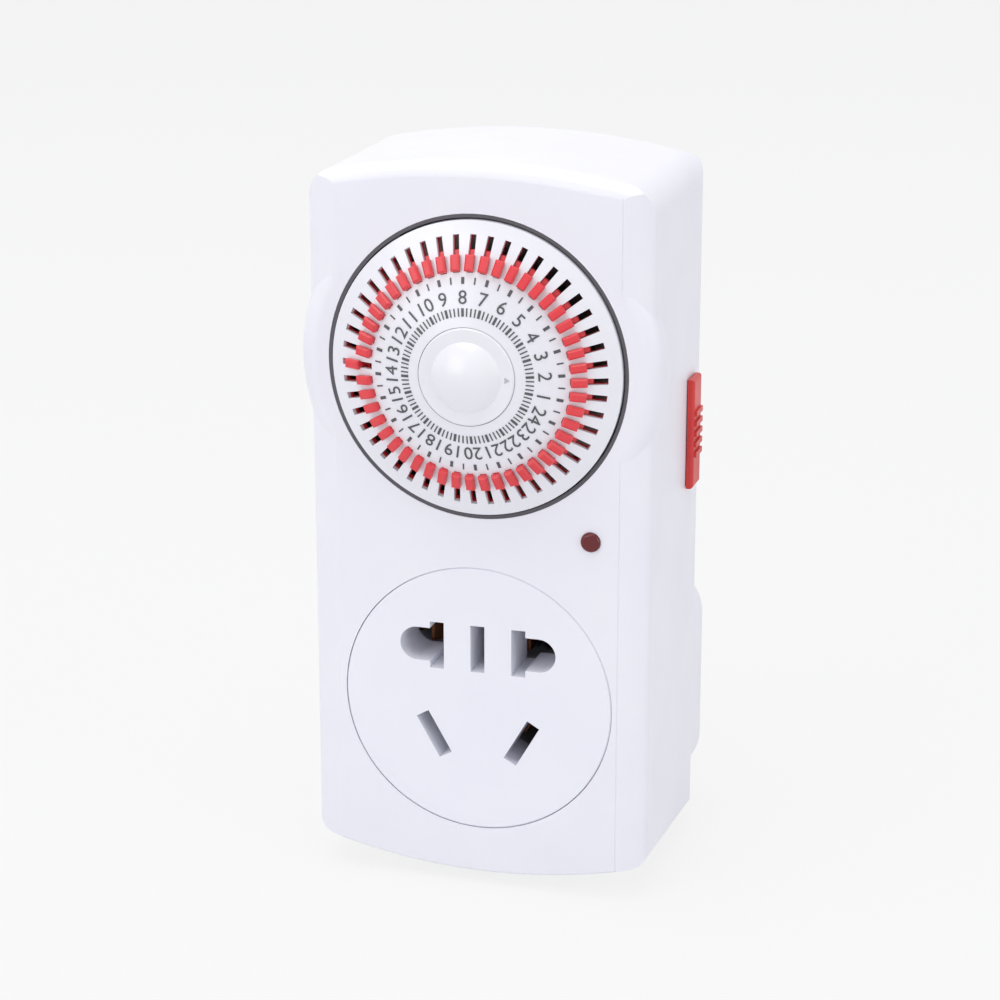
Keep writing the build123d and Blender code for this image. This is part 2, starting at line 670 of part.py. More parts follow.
def neutral_strap():
    x, z, tilt = pin_places(0)[0]
    foot = strap_plate(-CONTACT_SHEET_OUT, x + STRAP_WIDTH / 2, z, z + STRAP_WIDTH)
    riser = block(-CONTACT_SHEET_OUT, -CONTACT_SHEET_OUT + STRAP, BLOCK_BACK + CONTACT_SHEET, -PIN_TAIL,
                  z, z + 3 * STRAP_WIDTH)
    tab = block(-CONTACT_SHEET_OUT, -CONTACT_SHEET_OUT + STRAP_WIDTH, BLOCK_BACK + CONTACT_SHEET,
                BLOCK_BACK + CONTACT_SHEET + STRAP, z + 2 * STRAP_WIDTH, z + 3 * STRAP_WIDTH)
    return foot + riser + tab


def earth_strap():
    x, z, tilt = pin_places(0)[2]
    half = STRAP_WIDTH / 2
    foot = strap_plate(-half, half, z - half, z + half)
    riser = block(-half, half, BLOCK_BACK + CONTACT_SHEET, -PIN_TAIL, z + half - STRAP, z + half)
    tab = block(-half, half, BLOCK_BACK + CONTACT_SHEET, BLOCK_BACK + CONTACT_SHEET + STRAP,
                z + half - STRAP, z + half + STRAP_WIDTH)
    return foot + riser + tab


def live_strap():
    """From the live pin up behind the contact block to the switch's common terminal."""
    x, z, tilt = pin_places(0)[1]
    low = CASE_TOP - CASE_HEIGHT - TERMINAL_DROP
    column_x = CASE_LEFT + CASE_LENGTH - CASE_WALL - STRAP_WIDTH
    foot = strap_plate(x - STRAP_WIDTH / 2, column_x + STRAP_WIDTH, z, z + STRAP_WIDTH)
    column = strap_plate(column_x, column_x + STRAP_WIDTH, z, low)
    arm = block(column_x, column_x + STRAP_WIDTH, CASE_MID_Y, -PIN_TAIL, low - STRAP, low)
    return foot + column + arm


def switched_strap():
    """From the switch's other terminal down to the live contact sheet."""
    low = CASE_TOP - CASE_HEIGHT - TERMINAL_DROP
    x = CONTACT_SHEET_IN
    arm = block(x, x + STRAP_WIDTH, CASE_MID_Y, BLOCK_BACK + CONTACT_SHEET + STRAP, low - STRAP, low)
    sheet_top = OUTLET_Z + EARTH_OFFSET + SLOT_HEIGHT / 2
    leg = block(x, x + STRAP_WIDTH, BLOCK_BACK + CONTACT_SHEET, BLOCK_BACK + CONTACT_SHEET + STRAP,
                sheet_top - STRAP_WIDTH, low)
    return arm + leg


# ---- Dial -----------------------------------------------------------------------------------------

def dome(radius_cut):
    """Ball that shares the dome's centre, cut to a plate radius_cut thinner than the dome."""
    return Pos(0, DOME_CENTRE_Y, DIAL_Z) * Sphere(DOME_R - radius_cut)


def dial_slots(width, length):
    """Radial slots square to the dome at the slots' middle radius."""
    tool = slot_frame(0) * Box(length, width, DIAL_SLOT_CUT)
    return [Pos(0, 0, DIAL_Z) * Rot(0, 360 * k / TRIPPERS, 0) * Pos(0, 0, -DIAL_Z) * tool
            for k in range(TRIPPERS)]


def slot_frame(index):
    """Frame of one slot: x outwards along the dome, z square to it and out of the dial."""
    depth = DOME_CENTRE_Y - math.sqrt(DOME_R ** 2 - SLOT_MID_R ** 2)
    slope = math.asin(SLOT_MID_R / DOME_R)
    outward = (0, math.sin(slope), math.cos(slope))
    normal = (0, -math.cos(slope), math.sin(slope))
    plane = Plane(origin=(0, depth, DIAL_Z + SLOT_MID_R), x_dir=outward, z_dir=normal)
    turn = Pos(0, 0, DIAL_Z) * Rot(0, 360 * index / TRIPPERS, 0) * Pos(0, 0, -DIAL_Z)
    return turn * Location(plane)


def dial_face():
    bottom = BODY_FRONT + DIAL_SKIRT_DEPTH
    recess = BODY_FRONT - CAP_RECESS_RISE
    shell = rod(0, DIAL_Z, DIAL_R, -FAR, bottom) & dome(0)
    hollow = rod(0, DIAL_Z, DIAL_R - DIAL_SKIRT, -FAR, bottom) & dome(DIAL_SHELL)
    floor = rod(0, DIAL_Z, CAP_RECESS_R + DIAL_SHELL, -FAR, recess + DIAL_SHELL)
    shell -= hollow - floor
    shell -= rod(0, DIAL_Z, CAP_RECESS_R, -FAR, recess)
    shell += rod(0, DIAL_Z, DIAL_HUB_R, recess + DIAL_SHELL / 2, FRONT_PLATE_Y - MOVE_GAP)
    shell -= rod(0, DIAL_Z, SPINDLE_R + RUN_GAP, -FAR, 0)
    return shell - dial_slots(DIAL_SLOT, DIAL_SLOT_LENGTH)


def tripper_carrier():
    """Dark slotted ring under the dome that the trippers slide on."""
    ring = rod(0, DIAL_Z, CARRIER_OUT_R, -FAR, BODY_FRONT + DIAL_SKIRT_DEPTH)
    ring &= dome(DIAL_SHELL + SEAT_GAP)
    ring -= dome(DIAL_SHELL + CARRIER)
    ring -= rod(0, DIAL_Z, CARRIER_IN_R, -FAR, 0)
    return ring - dial_slots(DIAL_SLOT, DIAL_SLOT_LENGTH)


def tripper_shape():
    """One tripper in its slot's frame, parked at the inner end of the slot."""
    end = -DIAL_SLOT_LENGTH / 2 + TRIPPER_GAP / 2
    under = -DIAL_SHELL - CARRIER - TRIPPER_GAP
    head = Pos(end + HEAD_LENGTH / 2, 0, TRIPPER_GAP + HEAD_HEIGHT / 2)
    head = head * Box(HEAD_LENGTH, HEAD_WIDTH, HEAD_HEIGHT)
    head = chamfer(head.edges().group_by(Axis.Z)[-1], HEAD_BEVEL)
    neck = span(end, end + HEAD_LENGTH, STEM_WIDTH, under, TRIPPER_GAP)
    stem = span(end, end + STEM_LENGTH, STEM_WIDTH, under, -STEM_INSET)
    foot_end = end + STEM_LENGTH + FOOT_LUG_REACH
    foot = span(end - FOOT_OVERHANG, foot_end, FOOT_WIDTH, under - FOOT_HEIGHT, under)
    lug = span(foot_end - FOOT_LUG, foot_end, FOOT_WIDTH, under - FOOT_HEIGHT - FOOT_LUG_DEPTH,
               under - FOOT_HEIGHT)
    return head + neck + stem + foot + lug


def span(x0, x1, width, z0, z1):
    """A bar of the given width, centred across, in a slot's frame."""
    return Pos((x0 + x1) / 2, 0, (z0 + z1) / 2) * Box(x1 - x0, width, z1 - z0)


def tripper(index):
    out = TRIPPER_TRAVEL if index == SET_TRIPPER else 0
    return slot_frame(index) * Pos(out, 0, 0) * tripper_shape()


def centre_cap():
    back = BODY_FRONT - CAP_RECESS_RISE - MOVE_GAP
    rim = BODY_FRONT - CAP_RIM_RISE
    disc = rod(0, DIAL_Z, CAP_R, rim, back)
    disc = fillet(disc.edges().sort_by(Axis.Y)[0], CAP_EDGE_R)
    rise = CAP_RISE - CAP_RIM_RISE
    ball = (CAP_DOME_R ** 2 + rise ** 2) / (2 * rise)
    crown = Pos(0, rim - rise + ball, DIAL_Z) * Sphere(ball)
    crown &= rod(0, DIAL_Z, CAP_DOME_R, -FAR, rim + CAP_WALL)
    return disc + crown - rod(0, DIAL_Z, SPINDLE_R + SEAT_GAP, rim + CAP_WALL, 0)


def spindle():
    """Fixed post through the dial's hub, riveted in the front plate."""
    back = FRONT_PLATE_Y + PLATE
    post = rod(0, DIAL_Z, SPINDLE_R, BODY_FRONT - CAP_RIM_RISE + CAP_WALL + SEAT_GAP, back)
    return post + rod(0, DIAL_Z, SPINDLE_FLANGE_R, back, back + SCREW_HEAD)


def dial_bezel():
    """Dark ring that lines the dial's opening."""
    lip = tube(0, DIAL_Z, BEZEL_IN_R + BEZEL_LIP, BEZEL_IN_R, BODY_FRONT + BEZEL_SINK, FACE_INNER)
    flange = tube(0, DIAL_Z, BEZEL_FLANGE_R, BEZEL_IN_R, FACE_INNER, FACE_INNER + BEZEL_FLANGE)
    for x, z in PLATE_POSTS:
        flange -= rod(x, z, POST_R + FIT_GAP, FACE_INNER, FACE_INNER + BEZEL_FLANGE)
    return lip + flange


# ---- Gears ----------------------------------------------------------------------------------------

def tooth_half_angle(teeth, radius):
    """Half the angle that an involute tooth fills at a radius, less half the backlash."""
    pitch_r = GEAR_MODULE * teeth / 2
    base_r = pitch_r * math.cos(math.radians(PRESSURE_ANGLE))
    at_pitch = math.pi / (2 * teeth) - GEAR_BACKLASH / 2 / (2 * pitch_r)
    pressure = math.radians(PRESSURE_ANGLE)
    local = math.acos(min(base_r / radius, 1.0))
    return at_pitch + (math.tan(pressure) - pressure) - (math.tan(local) - local)


def gear_outline(teeth, towards, tooth=True):
    """Spur gear outline with a tooth, or a space, facing the given clock angle."""
    pitch_r = GEAR_MODULE * teeth / 2
    tip_r = pitch_r + GEAR_ADDENDUM * GEAR_MODULE
    root_r = pitch_r - GEAR_DEDENDUM * GEAR_MODULE
    base_r = pitch_r * math.cos(math.radians(PRESSURE_ANGLE))
    start_r = max(root_r, base_r)
    flank = [start_r, (start_r + pitch_r) / 2, pitch_r, (pitch_r + tip_r) / 2, tip_r]
    radii = [root_r] + flank if start_r > root_r else flank
    pitch_angle = 2 * math.pi / teeth
    first = math.radians(towards) + (0 if tooth else pitch_angle / 2)
    points = []
    for k in range(teeth):
        middle = first + k * pitch_angle
        rising = [(r, middle - tooth_half_angle(teeth, r)) for r in radii]
        falling = [(r, middle + tooth_half_angle(teeth, r)) for r in reversed(radii)]
        points += [(r * math.sin(a), r * math.cos(a)) for r, a in rising + falling]
    return make_face(Polyline(*points, close=True))


def gear(x, z, teeth, towards, y0, y1, tooth=True):
    return slab(Pos(x, z) * gear_outline(teeth, towards, tooth), y0, y1)


def dial_gear():
    back = DIAL_GEAR_Y + DIAL_GEAR_THICK
    wheel = gear(0, DIAL_Z, DIAL_TEETH, WHEEL_ANGLE, DIAL_GEAR_Y, back)
    wheel -= rod(0, DIAL_Z, DIAL_HUB_R + SEAT_GAP, DIAL_GEAR_Y, back)
    step = 360 / GEAR_WINDOWS
    windows = [rod(*clock(step * k, WINDOW_RING_R), WINDOW_R, DIAL_GEAR_Y, back)
               for k in range(GEAR_WINDOWS)]
    return wheel - windows


def clutch_pinion():
    body = gear(WHEEL_X, WHEEL_Z, PINION_TEETH, WHEEL_ANGLE + 180, DIAL_GEAR_Y - SHAFT_PROUD,
                WHEEL_Y - CLUTCH_WASHER, tooth=False)
    return body - rod(WHEEL_X, WHEEL_Z, ARBOR_R + RUN_GAP, -FAR, 0)


def reduction_wheel():
    back = WHEEL_Y + WHEEL_THICK
    wheel = gear(WHEEL_X, WHEEL_Z, WHEEL_TEETH, MOTOR_SHAFT_ANGLE, WHEEL_Y, back)
    wheel += rod(WHEEL_X, WHEEL_Z, WHEEL_HUB_R, back, REAR_PLATE_Y - MOVE_GAP)
    return wheel - rod(WHEEL_X, WHEEL_Z, ARBOR_R + RUN_GAP, -FAR, 0)


def clutch_washer():
    """Friction washer between the wheel and its pinion, which lets the dial be set by hand."""
    return tube(WHEEL_X, WHEEL_Z, CLUTCH_WASHER_R, ARBOR_R + RUN_GAP, WHEEL_Y - CLUTCH_WASHER, WHEEL_Y)


def wheel_arbor():
    return rod(WHEEL_X, WHEEL_Z, ARBOR_R, DIAL_GEAR_Y - SHAFT_PROUD, REAR_PLATE_Y + PLATE)


def motor_pinion():
    body = gear(SHAFT_X, SHAFT_Z, MOTOR_TEETH, MOTOR_SHAFT_ANGLE + 180, WHEEL_Y - SHAFT_PROUD,
                WHEEL_Y + WHEEL_THICK + SHAFT_PROUD, tooth=False)
    return body - rod(SHAFT_X, SHAFT_Z, MOTOR_SHAFT_R + SEAT_GAP, -FAR, 0)


def motor_shaft():
    return rod(SHAFT_X, SHAFT_Z, MOTOR_SHAFT_R, WHEEL_Y - SHAFT_PROUD, SHAFT_END)


# ---- Movement frame and motor ---------------------------------------------------------------------

def movement_front_plate():
    back = FRONT_PLATE_Y + PLATE
    outline = Pos(0, DIAL_Z) * Circle(PLATE_R)
    for x, z in PLATE_POSTS:
        turn = math.degrees(math.atan2(z - DIAL_Z, x))
        arm = Rectangle(math.hypot(x, z - DIAL_Z), 2 * EAR_R)
        outline += Pos(x / 2, (z + DIAL_Z) / 2) * Rot(0, 0, turn) * arm
        outline += Pos(x, z) * Circle(EAR_R)
    tab_low = CASE_TOP - CASE_HEIGHT
    tab_right = LAMP_X - BOARD_HALF - FIT_GAP
    tab_width = tab_right - CASE_LEFT
    tab = Rectangle(tab_width, DIAL_Z - tab_low)
    outline += Pos(CASE_LEFT + tab_width / 2, (tab_low + DIAL_Z) / 2) * tab
    plate = slab(outline, FRONT_PLATE_Y, back)
    plate -= rod(0, DIAL_Z, SPINDLE_R + SEAT_GAP, FRONT_PLATE_Y, back)
    pinion_clear = GEAR_MODULE * (PINION_TEETH / 2 + 1) + MOVE_GAP
    plate -= rod(WHEEL_X, WHEEL_Z, pinion_clear, FRONT_PLATE_Y, back)
    plate -= rod(LEVER_X, LEVER_Z, LEVER_HUB_R + RUN_GAP, FRONT_PLATE_Y, back)
    for x, z in PLATE_POSTS + switch_screw_places():
        plate -= rod(x, z, SCREW_R + SEAT_GAP, FRONT_PLATE_Y, back)
    for x, z in CASE_SCREWS:
        plate -= rod(x, z, CASE_BOSS_R + MOVE_GAP, FRONT_PLATE_Y, back)
    return plate


def movement_rear_plate():
    back = REAR_PLATE_Y + PLATE
    plate = rod(0, DIAL_Z, PLATE_R, REAR_PLATE_Y, back)
    plate -= rod(WHEEL_X, WHEEL_Z, ARBOR_R + SEAT_GAP, REAR_PLATE_Y, back)
    plate -= rod(SHAFT_X, SHAFT_Z, MOTOR_SHAFT_R + MOVE_GAP, REAR_PLATE_Y, back)
    for x, z in motor_screw_places():
        plate -= rod(x, z, SCREW_R + SEAT_GAP, REAR_PLATE_Y, back)
    return plate


def movement_pillars():
    front = FRONT_PLATE_Y + PLATE
    return [rod(*clock(angle, PILLAR_RING_R), PILLAR_R, front, REAR_PLATE_Y) for angle in PILLAR_ANGLES]


def motor_screw_places():
    return [(side * MOTOR_EAR_X, DIAL_Z) for side in (-1, 1)]


def switch_screw_places():
    """Two fixings of the microswitch on the front plate's tab."""
    z = CASE_TOP - CASE_HEIGHT + 3 * CASE_WALL
    return [(CASE_LEFT + 3 * CASE_WALL, z), (SWITCH_SCREW_X, z)]


def movement_screws():
    back = FRONT_PLATE_Y + PLATE
    group = [screw(x, z, FACE_INNER + MOVE_GAP, back) for x, z in PLATE_POSTS]
    group += [screw(x, z, FRONT_PLATE_Y, CASE_Y + CASE_DEPTH) for x, z in switch_screw_places()]
    ear_back = REAR_PLATE_Y + PLATE + MOTOR_LID
    group += [screw(x, z, REAR_PLATE_Y, ear_back) for x, z in motor_screw_places()]
    return group


def screw(x, z, tip, seat):
    """Small cheese-head screw with a drive slot, its head at the back."""
    body = rod(x, z, POST_PILOT_R - 2 * SEAT_GAP, tip, seat)
    body += rod(x, z, SCREW_HEAD_R, seat, seat + SCREW_HEAD)
    return body - block(x - SCREW_HEAD_R, x + SCREW_HEAD_R, seat + SCREW_HEAD / 2, seat + SCREW_HEAD,
                        z - DRIVE_SLOT / 2, z + DRIVE_SLOT / 2)


def motor_can():
    front = REAR_PLATE_Y + PLATE + MOTOR_LID
    can = rod(0, DIAL_Z, MOTOR_R, front, front + MOTOR_DEPTH)
    can = fillet(can.edges().sort_by(Axis.Y)[-1], MOTOR_EDGE_R)
    return can - rod(SHAFT_X, SHAFT_Z, MOTOR_SHAFT_R + MOVE_GAP, front, SHAFT_END + MOVE_GAP)


def motor_lid():
    """The motor's mounting plate, with a bearing for its output shaft."""
    front = REAR_PLATE_Y + PLATE
    outline = Pos(0, DIAL_Z) * Circle(MOTOR_R)
    for x, z in motor_screw_places():
        outline += Pos(x, z) * Circle(MOTOR_EAR_R)
        outline += Pos(x / 2, z) * Rectangle(abs(x), 2 * MOTOR_EAR_R)
    lid = slab(outline, front, front + MOTOR_LID)
    lid -= rod(SHAFT_X, SHAFT_Z, MOTOR_SHAFT_R + RUN_GAP, front, front + MOTOR_LID)
    for x, z in motor_screw_places():
        lid -= rod(x, z, SCREW_R + SEAT_GAP, front, front + MOTOR_LID)
    return lid


# ---- Switch ---------------------------------------------------------------------------------------

def bar_between(x0, z0, x1, z1, width, y0, y1):
    """A straight arm with round ends between two points."""
    length = math.hypot(x1 - x0, z1 - z0)
    turn = math.degrees(math.atan2(z1 - z0, x1 - x0))
    outline = Pos((x0 + x1) / 2, (z0 + z1) / 2) * Rot(0, 0, turn) * Rectangle(length, width)
    outline += Pos(x0, z0) * Circle(width / 2)
    outline += Pos(x1, z1) * Circle(width / 2)
    return slab(outline, y0, y1)


def switch_lever():
    """Follower: a peg under the dial, a hub that turns in the front plate and an arm on the plunger."""
    front_arm = bar_between(LEVER_X, LEVER_Z, PEG_X, PEG_Z, LEVER_WIDTH, LEVER_Y, LEVER_Y + LEVER_THICK)
    peg = rod(PEG_X, PEG_Z, PEG_R, LEVER_Y - PEG_RISE, LEVER_Y)
    hub = rod(LEVER_X, LEVER_Z, LEVER_HUB_R, LEVER_Y, REAR_ARM_Y + LEVER_THICK)
    rear_arm = bar_between(LEVER_X, REAR_ARM_Z, LEVER_X + REAR_ARM_END, REAR_ARM_Z, LEVER_WIDTH,
                           REAR_ARM_Y, REAR_ARM_Y + LEVER_THICK)
    return front_arm + peg + hub + rear_arm


def lever_clip():
    """Retaining ring on the lever's hub, behind the front plate."""
    back = FRONT_PLATE_Y + PLATE
    front = back + FIT_GAP
    return tube(LEVER_X, LEVER_Z, LEVER_HUB_R + CLIP_RIM, LEVER_HUB_R, front, front + CLIP)


def microswitch_case():
    right = CASE_LEFT + CASE_LENGTH
    low = CASE_TOP - CASE_HEIGHT
    back = CASE_Y + CASE_DEPTH - CASE_WALL
    case = block(CASE_LEFT, right, CASE_Y, back, low, CASE_TOP)
    case -= block(CASE_LEFT + CASE_WALL, right - CASE_WALL, CASE_Y + CASE_WALL, back,
                  low + CASE_WALL, CASE_TOP - CASE_WALL)
    for x, z in switch_screw_places():
        case += rod(x, z, SWITCH_POST_R, CASE_Y, back)
        case -= rod(x, z, SCREW_R + SEAT_GAP, CASE_Y, back)
    return case - plunger_bore() - terminal_slots()


def plunger_bore():
    return Pos(PLUNGER_X, CASE_MID_Y, CASE_TOP) * Cylinder(PLUNGER_R + RUN_GAP, 4 * CASE_WALL)


def terminal_places():
    """Left edges of the two terminals under the case."""
    return [CONTACT_SHEET_IN, CASE_LEFT + CASE_LENGTH - CASE_WALL - TERMINAL_WIDTH]


def terminal_slots():
    low = CASE_TOP - CASE_HEIGHT
    slots = [block(x - SEAT_GAP, x + TERMINAL_WIDTH + SEAT_GAP, CASE_MID_Y - SEAT_GAP,
                   CASE_MID_Y + STRAP + SEAT_GAP, low, low + CASE_WALL) for x in terminal_places()]
    return Part() + slots


def microswitch_cover():
    right = CASE_LEFT + CASE_LENGTH
    back = CASE_Y + CASE_DEPTH
    cover = block(CASE_LEFT, right, back - CASE_WALL, back, CASE_TOP - CASE_HEIGHT, CASE_TOP)
    for x, z in switch_screw_places():
        cover -= rod(x, z, SCREW_R + SEAT_GAP, back - CASE_WALL, back)
    return cover


def plunger():
    stem = Pos(PLUNGER_X, CASE_MID_Y, (PLUNGER_TOP + BLADE_TOP) / 2)
    stem = stem * Cylinder(PLUNGER_R, PLUNGER_TOP - BLADE_TOP)
    stem = fillet(stem.edges().sort_by(Axis.Z)[-1], PLUNGER_TIP_R)
    shoulder = Pos(PLUNGER_X, CASE_MID_Y, BLADE_TOP + PLUNGER_SHOULDER / 2)
    return stem + shoulder * Cylinder(PLUNGER_SHOULDER_R, PLUNGER_SHOULDER)


def moving_contact():
    """Spring blade carried by the plunger, with a contact rivet at its left end."""
    left = terminal_places()[0]
    right = PLUNGER_X + PLUNGER_SHOULDER_R
    half = BLADE_SHEET_WIDTH / 2
    blade = block(left, right, CASE_MID_Y - half, CASE_MID_Y + half, BLADE_TOP - BLADE_SHEET, BLADE_TOP)
    return blade + rivet(left + TERMINAL_WIDTH / 2, BLADE_TOP - BLADE_SHEET)


def rivet(x, top):
    """A contact rivet's head below the given height."""
    return Pos(x, CASE_MID_Y, top - RIVET / 2) * Cylinder(RIVET_R, RIVET)


def switch_terminals():
    """Fixed contact on the left and common terminal on the right, through the case's floor."""
    low = CASE_TOP - CASE_HEIGHT - TERMINAL_DROP
    rivet_top = BLADE_TOP - BLADE_SHEET - RIVET - CONTACT_GAP
    left, right = terminal_places()
    post = block(left, left + TERMINAL_WIDTH, CASE_MID_Y, CASE_MID_Y + STRAP, low, rivet_top - RIVET)
    post += rivet(left + TERMINAL_WIDTH / 2, rivet_top)
    common = block(right, right + TERMINAL_WIDTH, CASE_MID_Y, CASE_MID_Y + STRAP, low, rivet_top)
    return [post, common]


def plunger_spring():
    """Return spring under the blade, standing on the case's floor."""
    floor = CASE_TOP - CASE_HEIGHT + CASE_WALL
    top = BLADE_TOP - BLADE_SHEET
    height = top - floor - 2 * SPRING_WIRE_R
    path = Helix(height / SPRING_TURNS, height, SPRING_COIL_R)
    wire = sweep(Plane(path @ 0, z_dir=path % 0) * Circle(SPRING_WIRE_R), path=path)
    return Pos(PLUNGER_X, CASE_MID_Y, floor + SPRING_WIRE_R) * wire


# ---- Override slider and lamp ---------------------------------------------------------------------

def override_slider():
    """Red slider: a ribbed bar outside the wall, a stem through it and a finger over the lever."""
    side = BODY_HALF_WIDTH + SLIDER_CLEAR
    crown = side + SLIDER_PROUD
    y0 = SLIDER_Y - SLIDER_WIDTH / 2
    y1 = SLIDER_Y + SLIDER_WIDTH / 2
    bar = block(side, crown, y0, y1, SLIDER_Z - SLIDER_LENGTH / 2, SLIDER_Z + SLIDER_LENGTH / 2)
    outer = bar.faces().sort_by(Axis.X)[-1].edges()
    bar = fillet(outer, SLIDER_EDGE_R)
    for k in range(SLIDER_RIDGES):
        z = SLIDER_Z + (k - (SLIDER_RIDGES - 1) / 2) * RIDGE_PITCH
        bar += block(crown - RIDGE_HEIGHT, crown + RIDGE_HEIGHT, y0 + SLIDER_EDGE_R, y1 - SLIDER_EDGE_R,
                     z - RIDGE_WIDTH / 2, z + RIDGE_WIDTH / 2)
    inner = SIDE_INNER - MOVE_GAP
    half = SLIDER_STEM_WIDTH / 2
    stem = block(inner - SLIDER_BACKING, side, SLIDER_Y - half, SLIDER_Y + half,
                 SLIDER_Z - SLIDER_STEM_LENGTH / 2, SLIDER_Z + SLIDER_STEM_LENGTH / 2)
    backing = block(inner - SLIDER_BACKING, inner, y0 - BACKING_RIM, SLIDER_Y + half + BACKING_HOLD,
                    SLIDER_Z - SLIDER_STEM_LENGTH, SLIDER_Z + SLIDER_STEM_LENGTH)
    low = REAR_ARM_Z + LEVER_WIDTH / 2 + MOVE_GAP + SLIDER_TRAVEL
    finger_x = inner - SLIDER_BACKING
    arm_end = LEVER_X + REAR_ARM_END + LEVER_WIDTH / 2
    finger = block(arm_end - FINGER_OVERLAP, finger_x, REAR_ARM_Y, y1, low, low + FINGER_WIDTH)
    return bar + stem + backing + finger


def lamp_lens():
    lens = rod(LAMP_X, LAMP_Z, LAMP_R, BODY_FRONT - LAMP_PROUD, FACE_INNER)
    lens = fillet(lens.edges().sort_by(Axis.Y)[0], LAMP_EDGE_R)
    return lens + rod(LAMP_X, LAMP_Z, LAMP_FLANGE_R, FACE_INNER, FACE_INNER + LAMP_FLANGE)


def lamp_led():
    front = FACE_INNER + LAMP_FLANGE + FIT_GAP
    led = rod(LAMP_X, LAMP_Z, LED_R, front, BOARD_Y)
    return fillet(led.edges().sort_by(Axis.Y)[0], LED_EDGE_R)


def lamp_board():
    return block(LAMP_X - BOARD_HALF, LAMP_X + BOARD_HALF, BOARD_Y, BOARD_Y + BOARD,
                 LAMP_Z - BOARD_HALF, LAMP_Z + BOARD_HALF)


def lamp_resistor():
    z = LAMP_Z - BOARD_HALF / 2 - RESISTOR_R
    y = BOARD_Y - RESISTOR_R - FIT_GAP
    x0 = LAMP_X - RESISTOR_LENGTH / 4
    body = Pos(x0, y, z) * Rot(0, 90, 0) * Cylinder(RESISTOR_R, RESISTOR_LENGTH)
    wire = Pos(x0, y, z) * Rot(0, 90, 0) * Cylinder(LEAD_R, RESISTOR_LENGTH + 2 * LEAD_REACH)
    leg = RESISTOR_LENGTH / 2 + LEAD_REACH - LEAD_R
    legs = [rod(x0 + side * leg, z, LEAD_R, y, BOARD_Y) for side in (-1, 1)]
    return body + wire + legs


def case_screws():
    group = []
    for x, z in CASE_SCREWS:
        seat = CASE_HEAD_SEAT
        body = rod(x, z, CASE_SCREW_R, seat - CASE_SCREW_LENGTH, seat)
        body += rod(x, z, CASE_HEAD_R, seat, seat + CASE_HEAD)
        for turn in (0, 90):
            slot = Box(DRIVE_SLOT_REACH * CASE_HEAD_R, CASE_HEAD, DRIVE_SLOT)
            body -= Pos(x, seat + CASE_HEAD, z) * Rot(0, turn, 0) * slot
        group.append(body)
    return group


# ---- All sub-parts --------------------------------------------------------------------------------

def main():
    neutral, live, earth = pin_places(0)
    keep("front_housing", front_housing())
    keep("rear_housing", rear_housing())
    keep("outlet_face", outlet_face())
    keep("contact_block", contact_block())
    keep("live_contact", line_contact(1))
    keep("neutral_contact", line_contact(-1))
    keep("earth_contact", earth_contact())
    keep("neutral_pin", plug_pin(neutral, LIVE_PIN_LENGTH))
    keep("live_pin", plug_pin(live, LIVE_PIN_LENGTH))
    keep("earth_pin", plug_pin(earth, EARTH_PIN_LENGTH))
    keep("pin_block", pin_block())
    keep("neutral_strap", neutral_strap())
    keep("earth_strap", earth_strap())
    keep("live_strap", live_strap())
    keep("switched_strap", switched_strap())
    keep("case_screws", Compound(children=case_screws()))
    keep("dial_bezel", dial_bezel())
    keep("dial_face", dial_face())
    keep("tripper_carrier", tripper_carrier())
    keep("dial_gear", dial_gear())
    keep("centre_cap", centre_cap())
    keep("spindle", spindle())
    keep("clutch_pinion", clutch_pinion())
    keep("clutch_washer", clutch_washer())
    keep("reduction_wheel", reduction_wheel())
    keep("wheel_arbor", wheel_arbor())
    keep("motor_pinion", motor_pinion())
    keep("motor_shaft", motor_shaft())
    keep("motor_can", motor_can())
    keep("motor_lid", motor_lid())
    keep("movement_front_plate", movement_front_plate())
    keep("movement_rear_plate", movement_rear_plate())
    keep("movement_pillars", Compound(children=movement_pillars()))
    keep("movement_screws", Compound(children=movement_screws()))
    keep("switch_lever", switch_lever())
    keep("lever_clip", lever_clip())
    keep("microswitch_case", microswitch_case())
    keep("microswitch_cover", microswitch_cover())
    keep("plunger", plunger())
    keep("moving_contact", moving_contact())
    keep("switch_terminals", Compound(children=switch_terminals()))
    keep("plunger_spring", plunger_spring())
    keep("override_slider", override_slider())
    keep("lamp_lens", lamp_lens())
    keep("lamp_led", lamp_led())
    keep("lamp_board", lamp_board())
    keep("lamp_resistor", lamp_resistor())
    parked = []
    for index in range(TRIPPERS):
        if index % JOINTED_EVERY == 0:
            keep(f"tripper_{index // 2:02d}", tripper(index))
        else:
            parked.append(tripper(index))
    keep("parked_trippers", Compound(children=parked))


main()
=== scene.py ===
# %% [markdown]
# # A plug-in timer switch
# The object is a mechanical timer that plugs into the wall: a white housing with a domed dial on
# the upper half of its front, an outlet on the lower half, a small red lamp between them and a red
# override slider on its right side. Its solids come ready made, in metres, with +Z up and the front
# looking along -Y. This lesson prints the dial, gives every surface its finish and lights the whole.
# The solids are loaded first, because everything else takes its place from them.

# %% Load the solids
import bpy
import math
from mathutils import Matrix, Vector


